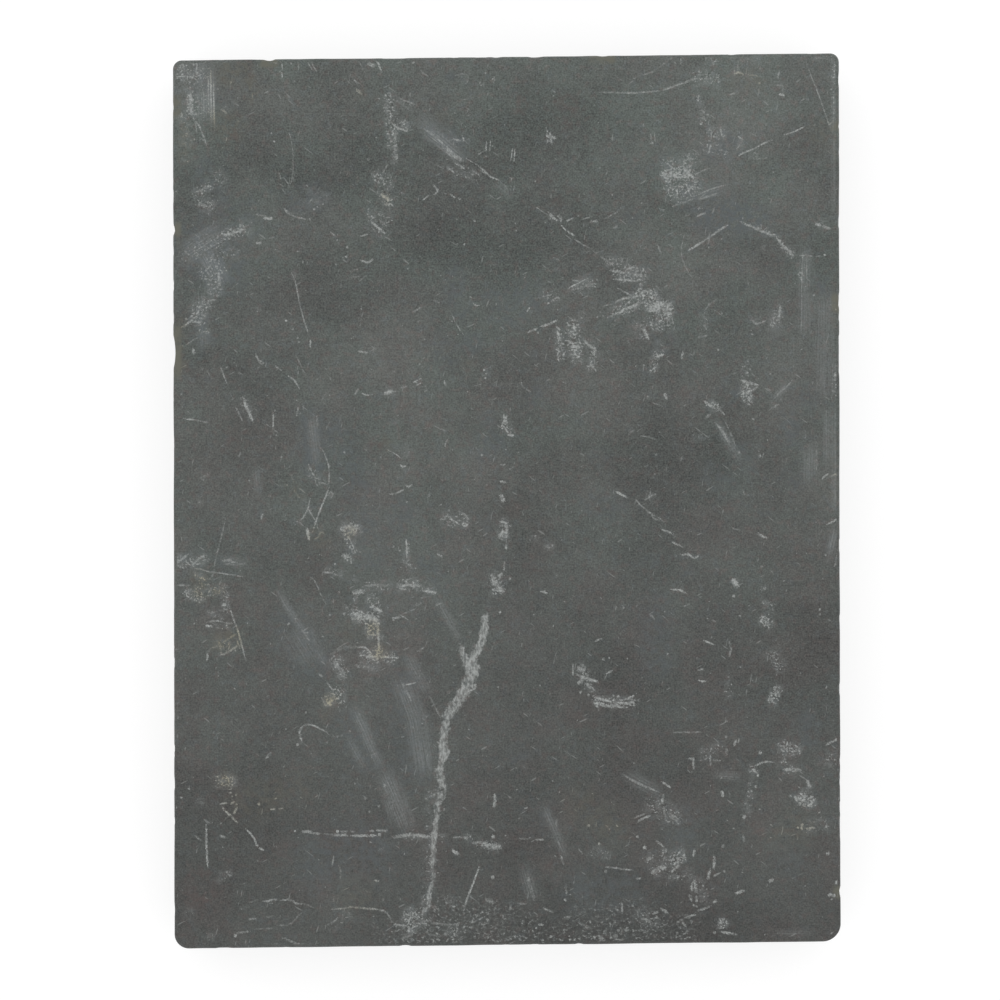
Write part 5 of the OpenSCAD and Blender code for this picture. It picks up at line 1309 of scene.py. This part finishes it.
def revolve(name, profile, steps, centre):
    # Carries a profile of (radius, height) in mm round a vertical line: x = r·cos a, y = r·sin a.
    # Its two ends are on the line, and close the shape
    a = np.linspace(0, 2 * np.pi, steps, endpoint=False)
    r, z = profile[1:-1].T
    ring = np.stack([np.outer(r, np.cos(a)), np.outer(r, np.sin(a)), np.outer(z, np.ones(steps))], -1)
    poles = np.array([(0, 0, profile[0][1]), (0, 0, profile[-1][1])])
    vertices = (np.concatenate([ring.reshape(-1, 3), poles]) + (*centre, 0)) * mm
    ids = closeRound(np.arange(len(r) * steps).reshape(len(r), steps))
    first, last = len(vertices) - 2, len(vertices) - 1
    caps = np.concatenate([
        np.stack([ids[0, 1:], ids[0, :-1], np.full(steps, first)], -1),
        np.stack([ids[-1, :-1], ids[-1, 1:], np.full(steps, last)], -1)])
    return makeMesh(name, vertices, [gridQuads(ids, flipped=True), caps])


def arc(centre, radius, start, end, steps):  # centre + radius·(cos a, sin a), a from start to end in degrees
    a = np.radians(np.linspace(start, end, steps + 1))
    return [(centre[0] + radius * np.cos(x), centre[1] + radius * np.sin(x)) for x in a]


def footProfile(values):
    # From the middle of the tread out over its grooves, round the rim, straight up the taper, round the
    # flange with its parting line, and back in on top
    rim, lip, top, flange = values["rim"], values["lip"], values["height"], values["flange"] / 2
    rimCentre, base = values["tread"] / 2 - rim, top - values["flangeHeight"]
    half, depth, soft = values["grooveWidth"] / 2, values["grooveDepth"], values["grooveLip"]
    groove = [(-half - soft, 0), (-half, soft), (-half, depth - soft), (-half + soft, depth)]
    dimple, sunk = values["dimple"], values["dimpleDepth"]
    profile = [(0, sunk), (0.55 * dimple, sunk), (0.68 * dimple, 0)]
    for n in range(1, values["grooves"] + 1):
        r = n * rimCentre / (values["grooves"] + 0.5)
        profile += [(r + x, z) for x, z in groove] + [(r - x, z) for x, z in reversed(groove)]
    parted, middle, apart = flange - values["parting"], (base + top) / 2, 0.12
    profile += arc((rimCentre, rim), rim, -90, -14, 8) + [(flange - 0.45, base - 0.25)]
    profile += arc((flange - lip, base + lip), lip, -60, 0, 4)
    profile += [(parted, middle - apart), (flange, middle), (parted, middle + apart)]
    profile += arc((flange - lip, top - lip), lip, 0, 90, 5) + [(flange * 0.6, top), (0, top)]
    return np.array(profile)


def adhesiveProfile(values, low, high):  # a disc whose edge is at r − squeeze·x², x from −1 to 1 up it
    r, middle = values["diameter"] / 2, (low + high) / 2
    edge = [(r - values["squeeze"] * x * x, middle + x * (high - low) / 2) for x in np.linspace(-1, 1, 7)]
    return np.array([(0, low), (r * 0.5, low), *edge, (r * 0.5, high), (0, high)])


stoneFinish, rubberFinish, foamFinish = stoneMaterial(stone), rubberMaterial(rubber), foamMaterial(foam)
slabPiece = buildSlab(slab)
slabPiece.data.materials.append(stoneFinish)
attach(slabPiece, "root")
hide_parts("stone_slab")
print("slab:", sum(len(face.vertices) - 2 for face in slabPiece.data.polygons), "triangles")

corners = ("front_left", "front_right", "back_right", "back_left")
for corner in corners:
    low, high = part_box(f"foot_{corner}")
    centre = ((low.x + high.x) / 2 / mm, (low.y + high.y) / 2 / mm)
    piece = revolve(f"rubber_foot_{corner}", footProfile(foot), foot["steps"], centre)
    piece.data.materials.append(rubberFinish)
    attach(piece, "root")
    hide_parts(f"foot_{corner}")
    low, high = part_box(f"adhesive_{corner}")
    profile = adhesiveProfile(adhesive, low.z / mm, high.z / mm)
    piece = revolve(f"foam_disc_{corner}", profile, adhesive["steps"], centre)
    piece.data.materials.append(foamFinish)
    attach(piece, "root")
    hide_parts(f"adhesive_{corner}")
print("feet and adhesive discs:", len(corners), "of each")

studio = {  # in metres
    "floorSize": 6.0, "floorColor": (0.31, 0.31, 0.31), "floorGlow": 0.72,
    "world": 1.0, "softbox": 11.0, "softboxSize": 2.6, "softboxPlace": (0.0, 0.7, 2.6),
    "frameWidth": 0.3427,                    # how much the camera takes in at the working face
    "distance": 1.5, "sensor": 36.0,         # the camera's height over that face, and its sensor in mm
    "aim": (-0.0023, 0.0003),
}


def addToScene(name, data):
    added = bpy.data.objects.new(name, data)
    bpy.context.scene.collection.objects.link(added)
    return added


def buildFloor(values):  # a pale square that glows a little, so that it runs into the white round it
    half = values["floorSize"] / 2
    mesh = bpy.data.meshes.new("floor")
    square = [(-half, -half, 0), (half, -half, 0), (half, half, 0), (-half, half, 0)]
    mesh.from_pydata(square, [], [(0, 1, 2, 3)])
    finish = newMaterial("floorPaint", {
        "Base Color": (*values["floorColor"], 1), "Roughness": 0.9,
        "Emission Color": (1, 1, 1, 1), "Emission Strength": values["floorGlow"]})[0]
    mesh.materials.append(finish)
    addToScene("floor", mesh)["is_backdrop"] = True


def buildLight(values):  # white all round, and a square softbox over the back that is turned to the origin
    world = bpy.data.worlds.new("studio")
    world.use_nodes = True
    background = world.node_tree.nodes["Background"].inputs
    background["Color"].default_value = (1, 1, 1, 1)
    background["Strength"].default_value = values["world"]
    bpy.context.scene.world = world
    light = bpy.data.lights.new("softbox", "AREA")
    light.shape, light.size, light.energy = "SQUARE", values["softboxSize"], values["softbox"]
    lamp = addToScene("softbox", light)
    lamp.location = values["softboxPlace"]
    lamp.rotation_euler = (np.arctan2(-values["softboxPlace"][1], values["softboxPlace"][2]), 0, 0)


def buildCamera(values):  # straight over the face; lens = sensor · distance / frame width
    camera = bpy.data.cameras.new("camera")
    camera.sensor_width = values["sensor"]
    camera.lens = values["sensor"] * values["distance"] / values["frameWidth"]
    camera.dof.use_dof = False
    holder = addToScene("camera", camera)
    holder.location = (*values["aim"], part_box("stone_slab")[1].z + values["distance"])
    bpy.context.scene.camera = holder
    bpy.context.scene.view_settings.view_transform = "Standard"


buildFloor(studio)
buildLight(studio)
buildCamera(studio)
print("studio ready")

low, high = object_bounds()
